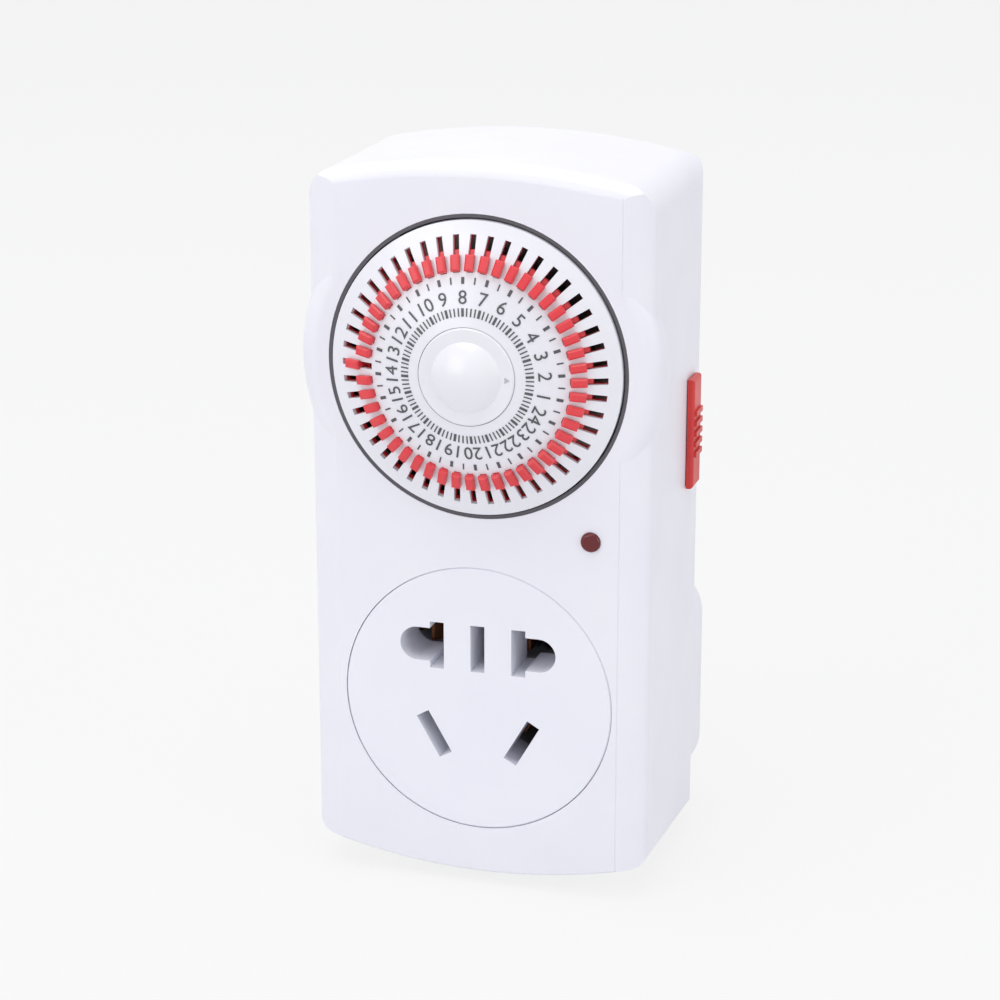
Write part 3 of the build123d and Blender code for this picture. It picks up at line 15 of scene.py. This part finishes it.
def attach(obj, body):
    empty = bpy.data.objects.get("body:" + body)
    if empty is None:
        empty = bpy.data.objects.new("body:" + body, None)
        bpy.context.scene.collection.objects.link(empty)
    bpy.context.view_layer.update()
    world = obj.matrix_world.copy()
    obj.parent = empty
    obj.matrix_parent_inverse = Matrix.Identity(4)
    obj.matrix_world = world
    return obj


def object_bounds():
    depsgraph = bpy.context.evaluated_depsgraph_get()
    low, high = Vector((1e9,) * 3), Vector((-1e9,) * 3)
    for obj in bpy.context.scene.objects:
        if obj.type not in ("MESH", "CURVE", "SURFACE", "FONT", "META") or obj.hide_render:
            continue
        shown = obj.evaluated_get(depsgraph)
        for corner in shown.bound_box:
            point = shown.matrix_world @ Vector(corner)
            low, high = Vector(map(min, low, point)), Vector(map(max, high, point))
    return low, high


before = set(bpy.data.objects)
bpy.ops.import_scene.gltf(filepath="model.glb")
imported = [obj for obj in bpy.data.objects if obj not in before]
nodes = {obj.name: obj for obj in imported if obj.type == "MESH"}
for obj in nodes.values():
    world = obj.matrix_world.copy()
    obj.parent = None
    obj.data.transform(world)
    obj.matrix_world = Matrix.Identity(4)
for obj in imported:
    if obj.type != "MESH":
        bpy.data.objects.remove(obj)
solid_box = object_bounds()
MM = 0.001
print("solids:", len(nodes), "box:", [[round(c / MM, 2) for c in corner] for corner in solid_box])

# %% [markdown]
# ## Adding shader nodes
# A material is a small graph. One helper adds a node: it sets the node's own properties, gives its
# sockets their values, and links a socket wherever the value is another node's output. Colours are
# written as the hex values that a picture editor shows, so another helper turns them to the linear
# values that the renderer works in.

# %% Helpers for materials
def add_node(tree, kind, inputs=None, **properties):
    """Adds one node with its settings, its values and its links."""
    node = tree.nodes.new(kind)
    for name, value in properties.items():
        setattr(node, name, value)
    for socket, value in (inputs or {}).items():
        if isinstance(value, bpy.types.NodeSocket):
            tree.links.new(value, node.inputs[socket])
        else:
            node.inputs[socket].default_value = value
    return node


def linear(hex_colour):
    """An sRGB hex colour as linear values with alpha."""
    parts = [int(hex_colour[i:i + 2], 16) / 255 for i in (1, 3, 5)]
    return [c / 12.92 if c <= 0.04045 else ((c + 0.055) / 1.055) ** 2.4 for c in parts] + [1.0]


def per_mm(size_mm):
    """Scale of a pattern whose features are size_mm across, on coordinates in metres."""
    return 1 / (size_mm * MM)


def new_finish(name):
    """An empty material; returns it with its tree and its object coordinates."""
    material = bpy.data.materials.new(name)
    material.use_nodes = True
    tree = material.node_tree
    tree.nodes.clear()
    place = add_node(tree, "ShaderNodeTexCoord")
    return material, tree, place.outputs["Object"]


def close_finish(tree, surface):
    """Ends a material's graph with its output node."""
    add_node(tree, "ShaderNodeOutputMaterial", {"Surface": surface})


print("white in linear light:", linear("#ffffff"))

# %% [markdown]
# ## Moulded plastic
# Nearly all that shows is injection-moulded plastic. A mould leaves three things on it: a fine grain
# from the spark-eroded or polished steel, a slow unevenness where the melt flowed and shrank, and a
# slight change of gloss along with it. Two noise textures give these: the fine one becomes bump, and
# the slow one moves the colour and the roughness by a few hundredths. The grain of the real part is
# finer than a pixel, so it is drawn at 0.35 mm here, as coarse as it needs to be to show.

# %% A recipe for moulded plastic
PLASTIC_IOR = 1.54
GLOSS_DRIFT = 0.04
FLOW_RANGE = {"From Min": 0.3, "From Max": 0.7}    # the noise seldom leaves this range


def moulded_plastic(name, colour, shade, roughness, grain_mm=0.35, grain_depth_mm=0.004, flow_mm=14.0):
    """Injection-moulded plastic: colour drifts to shade along the flow, fine grain as bump."""
    material, tree, place = new_finish(name)
    flow = add_node(tree, "ShaderNodeTexNoise", {"Vector": place, "Scale": per_mm(flow_mm), "Detail": 3.0})
    drift = add_node(tree, "ShaderNodeMapRange", {"Value": flow.outputs["Fac"], **FLOW_RANGE})
    tint = add_node(tree, "ShaderNodeMix", {0: drift.outputs["Result"], 6: linear(colour), 7: linear(shade)},
                    data_type="RGBA")
    gloss = add_node(tree, "ShaderNodeMapRange", {
        "Value": flow.outputs["Fac"], **FLOW_RANGE,
        "To Min": roughness - GLOSS_DRIFT, "To Max": roughness + GLOSS_DRIFT})
    grain = add_node(tree, "ShaderNodeTexNoise", {"Vector": place, "Scale": per_mm(grain_mm), "Detail": 2.0})
    bump = add_node(tree, "ShaderNodeBump", {"Height": grain.outputs["Fac"], "Strength": 0.5,
                                             "Distance": grain_depth_mm * MM})
    surface = add_node(tree, "ShaderNodeBsdfPrincipled", {
        "Base Color": tint.outputs[2], "Roughness": gloss.outputs["Result"],
        "Normal": bump.outputs["Normal"], "IOR": PLASTIC_IOR})
    close_finish(tree, surface.outputs["BSDF"])
    return material


print("moulded plastic: gloss drifts by", GLOSS_DRIFT, "IOR", PLASTIC_IOR)

# %% [markdown]
# ## The plastics of this timer
# The housing and the outlet face are white ABS with a satin skin, so they show no sharp highlight.
# The dial and its cap come from polished moulds and shine. The ring, the trippers and the slider are
# dyed in the mass, in three slightly different reds. Inside, the resins that stand the heat of
# current are grey and black, and the gears are acetal in its own milky white. The lamp's board and
# its resistor aren't moulded, but a laminate and a lacquer show the same slow drift of colour, so
# they share the recipe.

# %% Plastics
white_abs = moulded_plastic("white_abs_moulded", "#eeeef7", "#ebebf5", 0.36)
outlet_abs = moulded_plastic("outlet_abs_moulded", "#eeeff8", "#ebecf6", 0.33)
dial_abs = moulded_plastic("dial_abs_polished_mould", "#ebebf3", "#e8e8f0", 0.16, grain_depth_mm=0.001)
cap_abs = moulded_plastic("cap_abs_polished_mould", "#ececf3", "#e9e9f0", 0.24, grain_depth_mm=0.001)
bezel_abs = moulded_plastic("charcoal_abs_moulded", "#57535a", "#4e4a52", 0.42)
carrier_acetal = moulded_plastic("dyed_acetal_ring_moulded", "#e8494b", "#d63f42", 0.5)
tripper_acetal = moulded_plastic("red_acetal_moulded", "#e43f47", "#da363f", 0.34, grain_mm=0.3)
slider_abs = moulded_plastic("red_abs_moulded", "#d6322f", "#cb2d2b", 0.38)
contact_resin = moulded_plastic("grey_phenolic_moulded", "#b9b8bd", "#adacb2", 0.55, grain_mm=0.5,
                                grain_depth_mm=0.01)
switch_resin = moulded_plastic("black_phenolic_moulded", "#242428", "#1c1c20", 0.5, grain_mm=0.5)
gear_acetal = moulded_plastic("natural_acetal_moulded", "#ece9df", "#e4e1d5", 0.3)
board_laminate = moulded_plastic("glass_epoxy_laminate", "#2f6b3c", "#296035", 0.4)
resistor_lacquer = moulded_plastic("lacquered_ceramic", "#c9ab80", "#bd9f74", 0.35)
print("plastics:", len(bpy.data.materials))

# %% [markdown]
# ## Metals
# The plug's blades are drawn brass, polished by use along their length; the contacts are stamped
# phosphor bronze, browner and duller; screws, pillars and shafts are zinc-plated steel, and the
# plates and the motor's can are rolled sheet. A metal's colour is its reflection, so the base colour
# carries it, and a stretched noise gives the fine lines that drawing and rolling leave along the
# work. The real lines are finer than a pixel, so they are drawn a quarter of a millimetre wide.

# %% Metals
GLOSS_BELOW = 0.08          # between the lines the metal is this much smoother than its roughness,
GLOSS_ABOVE = 0.1           # and on them this much rougher


def worked_metal(name, colour, shade, roughness, run=(1.0, 0.06, 1.0), line_mm=0.25, line_depth_mm=0.004,
                 tarnish_mm=5.0):
    """Drawn or rolled metal: lines run along the axis on which the noise is stretched."""
    material, tree, place = new_finish(name)
    stretch = add_node(tree, "ShaderNodeMapping", {"Vector": place, "Scale": run})
    lines = add_node(tree, "ShaderNodeTexNoise", {
        "Vector": stretch.outputs["Vector"], "Scale": per_mm(line_mm), "Detail": 3.0})
    tarnish = add_node(tree, "ShaderNodeTexNoise", {
        "Vector": place, "Scale": per_mm(tarnish_mm), "Detail": 4.0})
    tint = add_node(tree, "ShaderNodeMix", {0: tarnish.outputs["Fac"], 6: linear(colour), 7: linear(shade)},
                    data_type="RGBA")
    gloss = add_node(tree, "ShaderNodeMapRange", {
        "Value": lines.outputs["Fac"], "To Min": roughness - GLOSS_BELOW, "To Max": roughness + GLOSS_ABOVE})
    bump = add_node(tree, "ShaderNodeBump", {"Height": lines.outputs["Fac"], "Strength": 0.4,
                                             "Distance": line_depth_mm * MM})
    surface = add_node(tree, "ShaderNodeBsdfPrincipled", {
        "Base Color": tint.outputs[2], "Metallic": 1.0, "Roughness": gloss.outputs["Result"],
        "Normal": bump.outputs["Normal"]})
    close_finish(tree, surface.outputs["BSDF"])
    return material


pin_brass = worked_metal("brass_drawn", "#e0c07c", "#cfa962", 0.26)
contact_bronze = worked_metal("phosphor_bronze_stamped", "#9a6a4c", "#704631", 0.42)
screw_steel = worked_metal("zinc_plated_steel", "#c9cacb", "#b4b6b8", 0.32)
sheet_steel = worked_metal("steel_sheet_rolled", "#bfc0bf", "#adaeae", 0.36, run=(1.0, 1.0, 0.08))
print("metals:", pin_brass.name, contact_bronze.name, screw_steel.name, sheet_steel.name)

# %% [markdown]
# ## The lamp's lens
# The lens is dyed acrylic: clear plastic with a polished face, so dark red that the lamp shows
# through it only when it is lit. Transmission lets light in, the base colour dyes it, and a low
# roughness keeps a small highlight on its rounded front. A faint noise in the bump stands for the
# ripple that a small moulded lens has. The lamp behind it is cast in clear epoxy, paler and clearer.

# %% Clear plastics
CLEAR_IOR = 1.49
RIPPLE_MM = 1.2
RIPPLE_DEPTH = 0.02 * MM


def dyed_clear(name, colour, roughness, transmission):
    """Clear plastic dyed in the mass, its surface faintly rippled."""
    material, tree, place = new_finish(name)
    ripple = add_node(tree, "ShaderNodeTexNoise", {
        "Vector": place, "Scale": per_mm(RIPPLE_MM), "Detail": 1.0})
    bump = add_node(tree, "ShaderNodeBump", {"Height": ripple.outputs["Fac"], "Strength": 0.3,
                                             "Distance": RIPPLE_DEPTH})
    surface = add_node(tree, "ShaderNodeBsdfPrincipled", {
        "Base Color": linear(colour), "Roughness": roughness, "Transmission Weight": transmission,
        "IOR": CLEAR_IOR, "Normal": bump.outputs["Normal"]})
    close_finish(tree, surface.outputs["BSDF"])
    return material


lens_acrylic = dyed_clear("ruby_acrylic_moulded", "#7a1a22", 0.12, 0.35)
lamp_epoxy = dyed_clear("clear_epoxy_cast", "#f2b8b0", 0.1, 0.6)
print("clear plastics:", lens_acrylic.name, lamp_epoxy.name)

# %% [markdown]
# ## Giving each solid its finish
# Each solid has one material. A table by finish is easier to check than one by solid, and the loop
# reports any solid that was left out.

# %% Finish of each solid
trippers = [name for name in nodes if name.startswith("tripper_") and name != "tripper_carrier"]
finishes = {
    white_abs: ["front_housing", "rear_housing"],
    outlet_abs: ["outlet_face"],
    dial_abs: ["dial_face"],
    cap_abs: ["centre_cap"],
    bezel_abs: ["dial_bezel"],
    carrier_acetal: ["tripper_carrier"],
    tripper_acetal: ["parked_trippers"] + trippers,
    slider_abs: ["override_slider"],
    contact_resin: ["contact_block", "pin_block"],
    switch_resin: ["microswitch_case", "microswitch_cover"],
    gear_acetal: ["dial_gear", "reduction_wheel", "clutch_pinion", "switch_lever", "plunger"],
    pin_brass: ["neutral_pin", "live_pin", "earth_pin", "switch_terminals", "motor_pinion"],
    contact_bronze: ["live_contact", "neutral_contact", "earth_contact", "neutral_strap", "earth_strap",
                     "live_strap", "switched_strap", "moving_contact"],
    screw_steel: ["case_screws", "movement_screws", "movement_pillars", "spindle", "wheel_arbor",
                  "motor_shaft", "lever_clip", "plunger_spring", "clutch_washer"],
    sheet_steel: ["movement_front_plate", "movement_rear_plate", "motor_lid", "motor_can"],
    lens_acrylic: ["lamp_lens"],
    lamp_epoxy: ["lamp_led"],
    board_laminate: ["lamp_board"],
    resistor_lacquer: ["lamp_resistor"],
}

dressed = set()
for material, names in finishes.items():
    for name in names:
        mesh = nodes[name].data
        mesh.materials.clear()
        mesh.materials.append(material)
        dressed.add(name)
print("solids without a finish:", sorted(set(nodes) - dressed))

# %% [markdown]
# ## The dome that the dial is printed on
# The dial is a shallow dome. Everything printed on it lies a hair above the dome and square to it, so
# one helper gives the matrix that carries a flat print from the middle of the world to a radius and a
# clock angle on the dome: its y axis points outwards from the dial's centre, its z axis out of the
# dome. Angles run clockwise from twelve o'clock, as they do on a clock.

# %% Places on the dome
DIAL_CENTRE_Z = 62.0 * MM
DOME_R = 50.0 * MM
DOME_CENTRE_Y = 0.5 * MM
PRINT_LIFT = 0.05 * MM
NUMBER_RADIUS = 11.4 * MM


def on_dome(radius, angle):
    """Matrix of a print at a radius in metres and a clock angle in degrees."""
    slope = math.asin(radius / DOME_R)
    lift = DOME_R + PRINT_LIFT
    place = Matrix.Translation((0, DOME_CENTRE_Y - lift * math.cos(slope), lift * math.sin(slope)))
    outward = Vector((0, math.sin(slope), math.cos(slope)))
    normal = Vector((0, -math.cos(slope), math.sin(slope)))
    across = outward.cross(normal)
    turn = Matrix((across, outward, normal)).transposed().to_4x4()
    spin = Matrix.Rotation(math.radians(angle), 4, "Y")
    return Matrix.Translation((0, 0, DIAL_CENTRE_Z)) @ spin @ place @ turn


top = on_dome(NUMBER_RADIUS, 0)
print("a number at twelve o'clock lies at", [round(c / MM, 2) for c in top.translation])

# %% [markdown]
# ## Printing ink
# The dial's marks are pad-printed in dark grey ink, the cap's in one nearly as pale as the plastic.
# Ink is duller than a polished moulding and covers unevenly, so each ink is a plain material with a
# little mottle in its colour.

# %% Ink
INK_ROUGHNESS = 0.4
MOTTLE_MM = 0.6


def printed_ink(name, colour, shade):
    """Dull ink whose colour is mottled towards shade."""
    material, tree, place = new_finish(name)
    mottle = add_node(tree, "ShaderNodeTexNoise", {
        "Vector": place, "Scale": per_mm(MOTTLE_MM), "Detail": 3.0})
    tint = add_node(tree, "ShaderNodeMix", {0: mottle.outputs["Fac"], 6: linear(colour), 7: linear(shade)},
                    data_type="RGBA")
    surface = add_node(tree, "ShaderNodeBsdfPrincipled", {
        "Base Color": tint.outputs[2], "Roughness": INK_ROUGHNESS})
    close_finish(tree, surface.outputs["BSDF"])
    return material


dial_ink = printed_ink("dark_grey_pad_print", "#4a494f", "#5c5b61")
cap_ink = printed_ink("pale_grey_pad_print", "#b4b3ba", "#bdbcc3")
print("inks:", dial_ink.name, cap_ink.name)

# %% [markdown]
# ## One object from many prints
# The dial has 24 numbers and 144 ticks. Each is made by itself and carried to its place, and then
# all of a kind are joined, so that the dial carries one object of numbers and one of ticks. Blender's
# operators act on all that is selected, so everything is deselected before each step.

# %% Join prints
def clear_selection():
    bpy.ops.object.select_all(action="DESELECT")


def join_pieces(pieces, name, material):
    """Joins pieces to one object at the origin and gives it its material."""
    clear_selection()
    for piece in pieces:
        piece.select_set(True)
    bpy.context.view_layer.objects.active = pieces[0]
    bpy.ops.object.join()
    whole = bpy.context.object
    whole.name = name
    whole.data.materials.clear()
    whole.data.materials.append(material)
    return whole


# %% [markdown]
# ## Hour numbers
# The hours 1 to 24 stand round the dial with their tops outwards. They fall as the eye goes
# clockwise, because the dial turns clockwise past a fixed mark. Each number is a text object made a
# mesh, given a little thickness, and carried to its place on the dome; then all are joined. The
# dial has 48 slots, one for each half hour, and the numbers stand half a slot's step off the upright.

# %% Number the dial
HOURS = 24
SLOTS = 48
FIRST_ANGLE = -360 / SLOTS / 2
FIRST_NUMBER = 8
NUMBER_HEIGHT = 2.05 * MM
HEIGHT_OF_SIZE = 0.72       # the font's figures take nearly this share of its nominal size
NUMBER_THICKNESS = 0.015 * MM
CURVE_STEPS = 3


def printed_number(text):
    """A number as a thin mesh, its middle at the origin."""
    clear_selection()
    bpy.ops.object.text_add()
    label = bpy.context.object
    label.data.body = text
    label.data.align_x = "CENTER"
    label.data.align_y = "CENTER"
    label.data.size = NUMBER_HEIGHT / HEIGHT_OF_SIZE
    label.data.resolution_u = CURVE_STEPS
    label.data.extrude = NUMBER_THICKNESS
    bpy.ops.object.convert(target="MESH")
    return bpy.context.object


numbers = []
for step in range(HOURS):
    hour = (FIRST_NUMBER - step - 1) % HOURS + 1
    number = printed_number(str(hour))
    number.data.transform(on_dome(NUMBER_RADIUS, FIRST_ANGLE + 360 / HOURS * step))
    numbers.append(number)
dial_numbers = join_pieces(numbers, "dial_numbers", dial_ink)
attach(dial_numbers, "dial")
print("numbers:", len(numbers), "faces:", len(dial_numbers.data.polygons))

# %% [markdown]
# ## Tick marks
# Two rings of ticks frame the numbers: 48 outside, one for each half hour, and 96 inside, one for
# each quarter. Those on the hour are bolder. A tick is a small plane, inset with a little depth,
# which lifts its middle and leaves its rim near the plastic. Each is carried to its own place.

# %% Tick marks
PRINT_RIM = 0.02 * MM


def tick(length, width):
    """One printed tick, its length along y."""
    clear_selection()
    bpy.ops.mesh.primitive_plane_add(size=1.0)
    bar = bpy.context.object
    bar.data.transform(Matrix.Diagonal((width, length, 1, 1)))
    bpy.ops.object.mode_set(mode="EDIT")
    bpy.ops.mesh.select_all(action="SELECT")
    bpy.ops.mesh.inset(thickness=PRINT_RIM, depth=PRINT_RIM)
    bpy.ops.object.mode_set(mode="OBJECT")
    return bar


def tick_ring(count, radius, length, thin, bold):
    """Ticks round the dial, the first on an hour and each further hour's as bold."""
    ring = []
    for k in range(count):
        mark = tick(length, bold if k % (count // HOURS) == 0 else thin)
        mark.data.transform(on_dome(radius, FIRST_ANGLE + 360 * k / count))
        ring.append(mark)
    return ring


outer_ticks = tick_ring(count=SLOTS, radius=13.8 * MM, length=1.0 * MM, thin=0.22 * MM, bold=0.45 * MM)
inner_ticks = tick_ring(count=2 * SLOTS, radius=9.4 * MM, length=1.2 * MM, thin=0.2 * MM, bold=0.38 * MM)
dial_ticks = join_pieces(outer_ticks + inner_ticks, "dial_ticks", dial_ink)
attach(dial_ticks, "dial")
print("ticks:", len(outer_ticks), "outside and", len(inner_ticks), "inside")

# %% [markdown]
# ## The mark on the cap
# The cap in the middle stays still while the dial turns, and a small arrow on its rim points to the
# time, at three o'clock. It is a triangle of ink: a circle drawn with three corners, inset as the
# ticks are, so that its middle stands a little above its rim.

# %% Time mark
CAP_RIM_Y = -49.2 * MM
MARK_OUT = 6.05 * MM
MARK_R = 0.55 * MM
MARK_LIFT = 0.02 * MM
clear_selection()
bpy.ops.mesh.primitive_circle_add(vertices=3, radius=MARK_R, fill_type="NGON")
time_mark = bpy.context.object
bpy.ops.object.mode_set(mode="EDIT")
bpy.ops.mesh.select_all(action="SELECT")
bpy.ops.mesh.inset(thickness=0.03 * MM, depth=PRINT_RIM)
bpy.ops.object.mode_set(mode="OBJECT")
face_front = Matrix.Rotation(math.radians(90), 4, "X")
point_right = Matrix.Rotation(math.radians(-90), 4, "Z")
mark_place = Matrix.Translation((MARK_OUT, CAP_RIM_Y - MARK_LIFT, DIAL_CENTRE_Z))
time_mark.data.transform(mark_place @ face_front @ point_right)
time_mark.name = "time_mark"
time_mark.data.materials.append(cap_ink)
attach(time_mark, "housing")
print("time mark at", [round(c / MM, 2) for c in time_mark.data.vertices[0].co])

# %% [markdown]
# ## What is seen directly
# White paper in a studio picture shows almost no shade, yet a white plane that glowed would also
# light the object from below. The renderer knows what kind of ray meets a surface, so the floor and
# the world can look bright to the rays that show them, and stay plain for the light that they cast.

# %% Rays that see the background
def seen_directly(tree):
    """1 for rays from the camera, from glossy surfaces and through clear ones, 0 for diffuse light."""
    path = add_node(tree, "ShaderNodeLightPath")
    direct = add_node(tree, "ShaderNodeMath", {0: path.outputs["Is Camera Ray"],
                                               1: path.outputs["Is Glossy Ray"]}, operation="MAXIMUM")
    seen = add_node(tree, "ShaderNodeMath", {0: direct.outputs[0],
                                             1: path.outputs["Is Transmission Ray"]}, operation="MAXIMUM")
    return seen.outputs[0]


BACKGROUND_WHITE = linear("#fafafa")
print("background in linear light:", [round(c, 3) for c in BACKGROUND_WHITE])

# %% [markdown]
# ## The floor
# The object stands on a plain pale sheet. Its material mixes two shaders: rays that see it directly
# find mostly a glow, and the light that falls on it finds ordinary matt paper. The share of paper
# that is left in the mix keeps the soft shadow.

# %% Floor
FLOOR_SIZE = 8.0
FLOOR_Z = solid_box[0].z
GLOW_SHARE = 0.86
clear_selection()
bpy.ops.mesh.primitive_plane_add(size=FLOOR_SIZE, location=(0, 0, FLOOR_Z))
floor = bpy.context.object
floor.name = "floor"
floor_paper, tree, _ = new_finish("white_paper_matt")
paper_glow = add_node(tree, "ShaderNodeMath", {0: seen_directly(tree), 1: GLOW_SHARE}, operation="MULTIPLY")
paper = add_node(tree, "ShaderNodeBsdfDiffuse", {"Color": linear("#e8e8ea")})
glow = add_node(tree, "ShaderNodeEmission", {"Color": BACKGROUND_WHITE, "Strength": 1.0})
mixed = add_node(tree, "ShaderNodeMixShader", {0: paper_glow.outputs[0], 1: paper.outputs[0],
                                               2: glow.outputs[0]})
close_finish(tree, mixed.outputs[0])
floor.data.materials.append(floor_paper)
print("floor at", round(FLOOR_Z / MM, 2), "mm")

# %% [markdown]
# ## The world around it
# A white box around the object would give soft light from every side. The world stands in for that
# box: a dim even white for the light it casts, and a brighter white where the camera, a gloss or a
# clear piece looks straight at it.

# %% World
SOFT_LIGHT = 0.55
world = bpy.data.worlds.new("studio")
bpy.context.scene.world = world
world.use_nodes = True
tree = world.node_tree
tree.nodes.clear()
soft = add_node(tree, "ShaderNodeBackground", {"Color": linear("#ffffff"), "Strength": SOFT_LIGHT})
white = add_node(tree, "ShaderNodeBackground", {"Color": BACKGROUND_WHITE, "Strength": 1.0})
sky = add_node(tree, "ShaderNodeMixShader", {0: seen_directly(tree), 1: soft.outputs[0],
                                             2: white.outputs[0]})
add_node(tree, "ShaderNodeOutputWorld", {"Surface": sky.outputs[0]})
print("world:", world.name, "soft light", SOFT_LIGHT)

# %% [markdown]
# ## Three softboxes
# White plastic shows its form only by small steps of tone, so the lamps differ by side. A large one
# overhead makes the top the brightest face. A weaker one on the left in front lights the face and lets
# the right side fall off. The last one, low on the right, keeps that side from turning grey. All are
# wide, which makes their shadows soft, and each is turned to the middle of the object.

# %% Lamps
OBJECT_MIDDLE = (0, -0.02, 0.04)


def softbox(name, place, size, power):
    """A square area lamp, its place and size in metres, turned to the object's middle."""
    light = bpy.data.lights.new(name, "AREA")
    light.shape = "SQUARE"
    light.size = size
    light.energy = power
    lamp = bpy.data.objects.new(name, light)
    bpy.context.scene.collection.objects.link(lamp)
    lamp.location = place
    lamp.rotation_mode = "QUATERNION"
    lamp.rotation_quaternion = (Vector(OBJECT_MIDDLE) - Vector(place)).to_track_quat("-Z", "Y")
    return lamp


softboxes = [
    softbox("overhead_softbox", place=(-0.1, -0.15, 0.9), size=0.8, power=4.6),
    softbox("front_softbox", place=(-0.5, -0.8, 0.35), size=0.6, power=2.0),
    softbox("side_softbox", place=(0.9, -0.25, 0.3), size=0.6, power=1.65),
]
print("lamps:", [lamp.name for lamp in softboxes])

# %% [markdown]
# ## The camera
# The view is from the right in front and from above: the camera stands 17 degrees off to the side and
# looks down by about the same angle, near enough for the depth to show in the perspective. The lens is
# a long one, so that straight edges stay nearly parallel.

# %% Camera
CAMERA_PLACE = (120.25 * MM, -425.0 * MM, 167.9 * MM)
CAMERA_AIM = (3.53 * MM, -44.0 * MM, 42.47 * MM)
SENSOR_WIDTH_MM = 36.0
FOCAL_LENGTH_MM = 103.0
NEAREST_SEEN = 0.01
lens = bpy.data.cameras.new("camera")
lens.sensor_width = SENSOR_WIDTH_MM
lens.lens = FOCAL_LENGTH_MM
lens.clip_start = NEAREST_SEEN
camera = bpy.data.objects.new("camera", lens)
bpy.context.scene.collection.objects.link(camera)
camera.location = CAMERA_PLACE
aim = Vector(CAMERA_AIM) - camera.location
camera.rotation_mode = "QUATERNION"
camera.rotation_quaternion = aim.to_track_quat("-Z", "Y")
bpy.context.scene.camera = camera
bpy.context.scene.view_settings.view_transform = "Standard"
print("camera to aim:", round(aim.length / MM), "mm, lens", lens.lens, "mm")
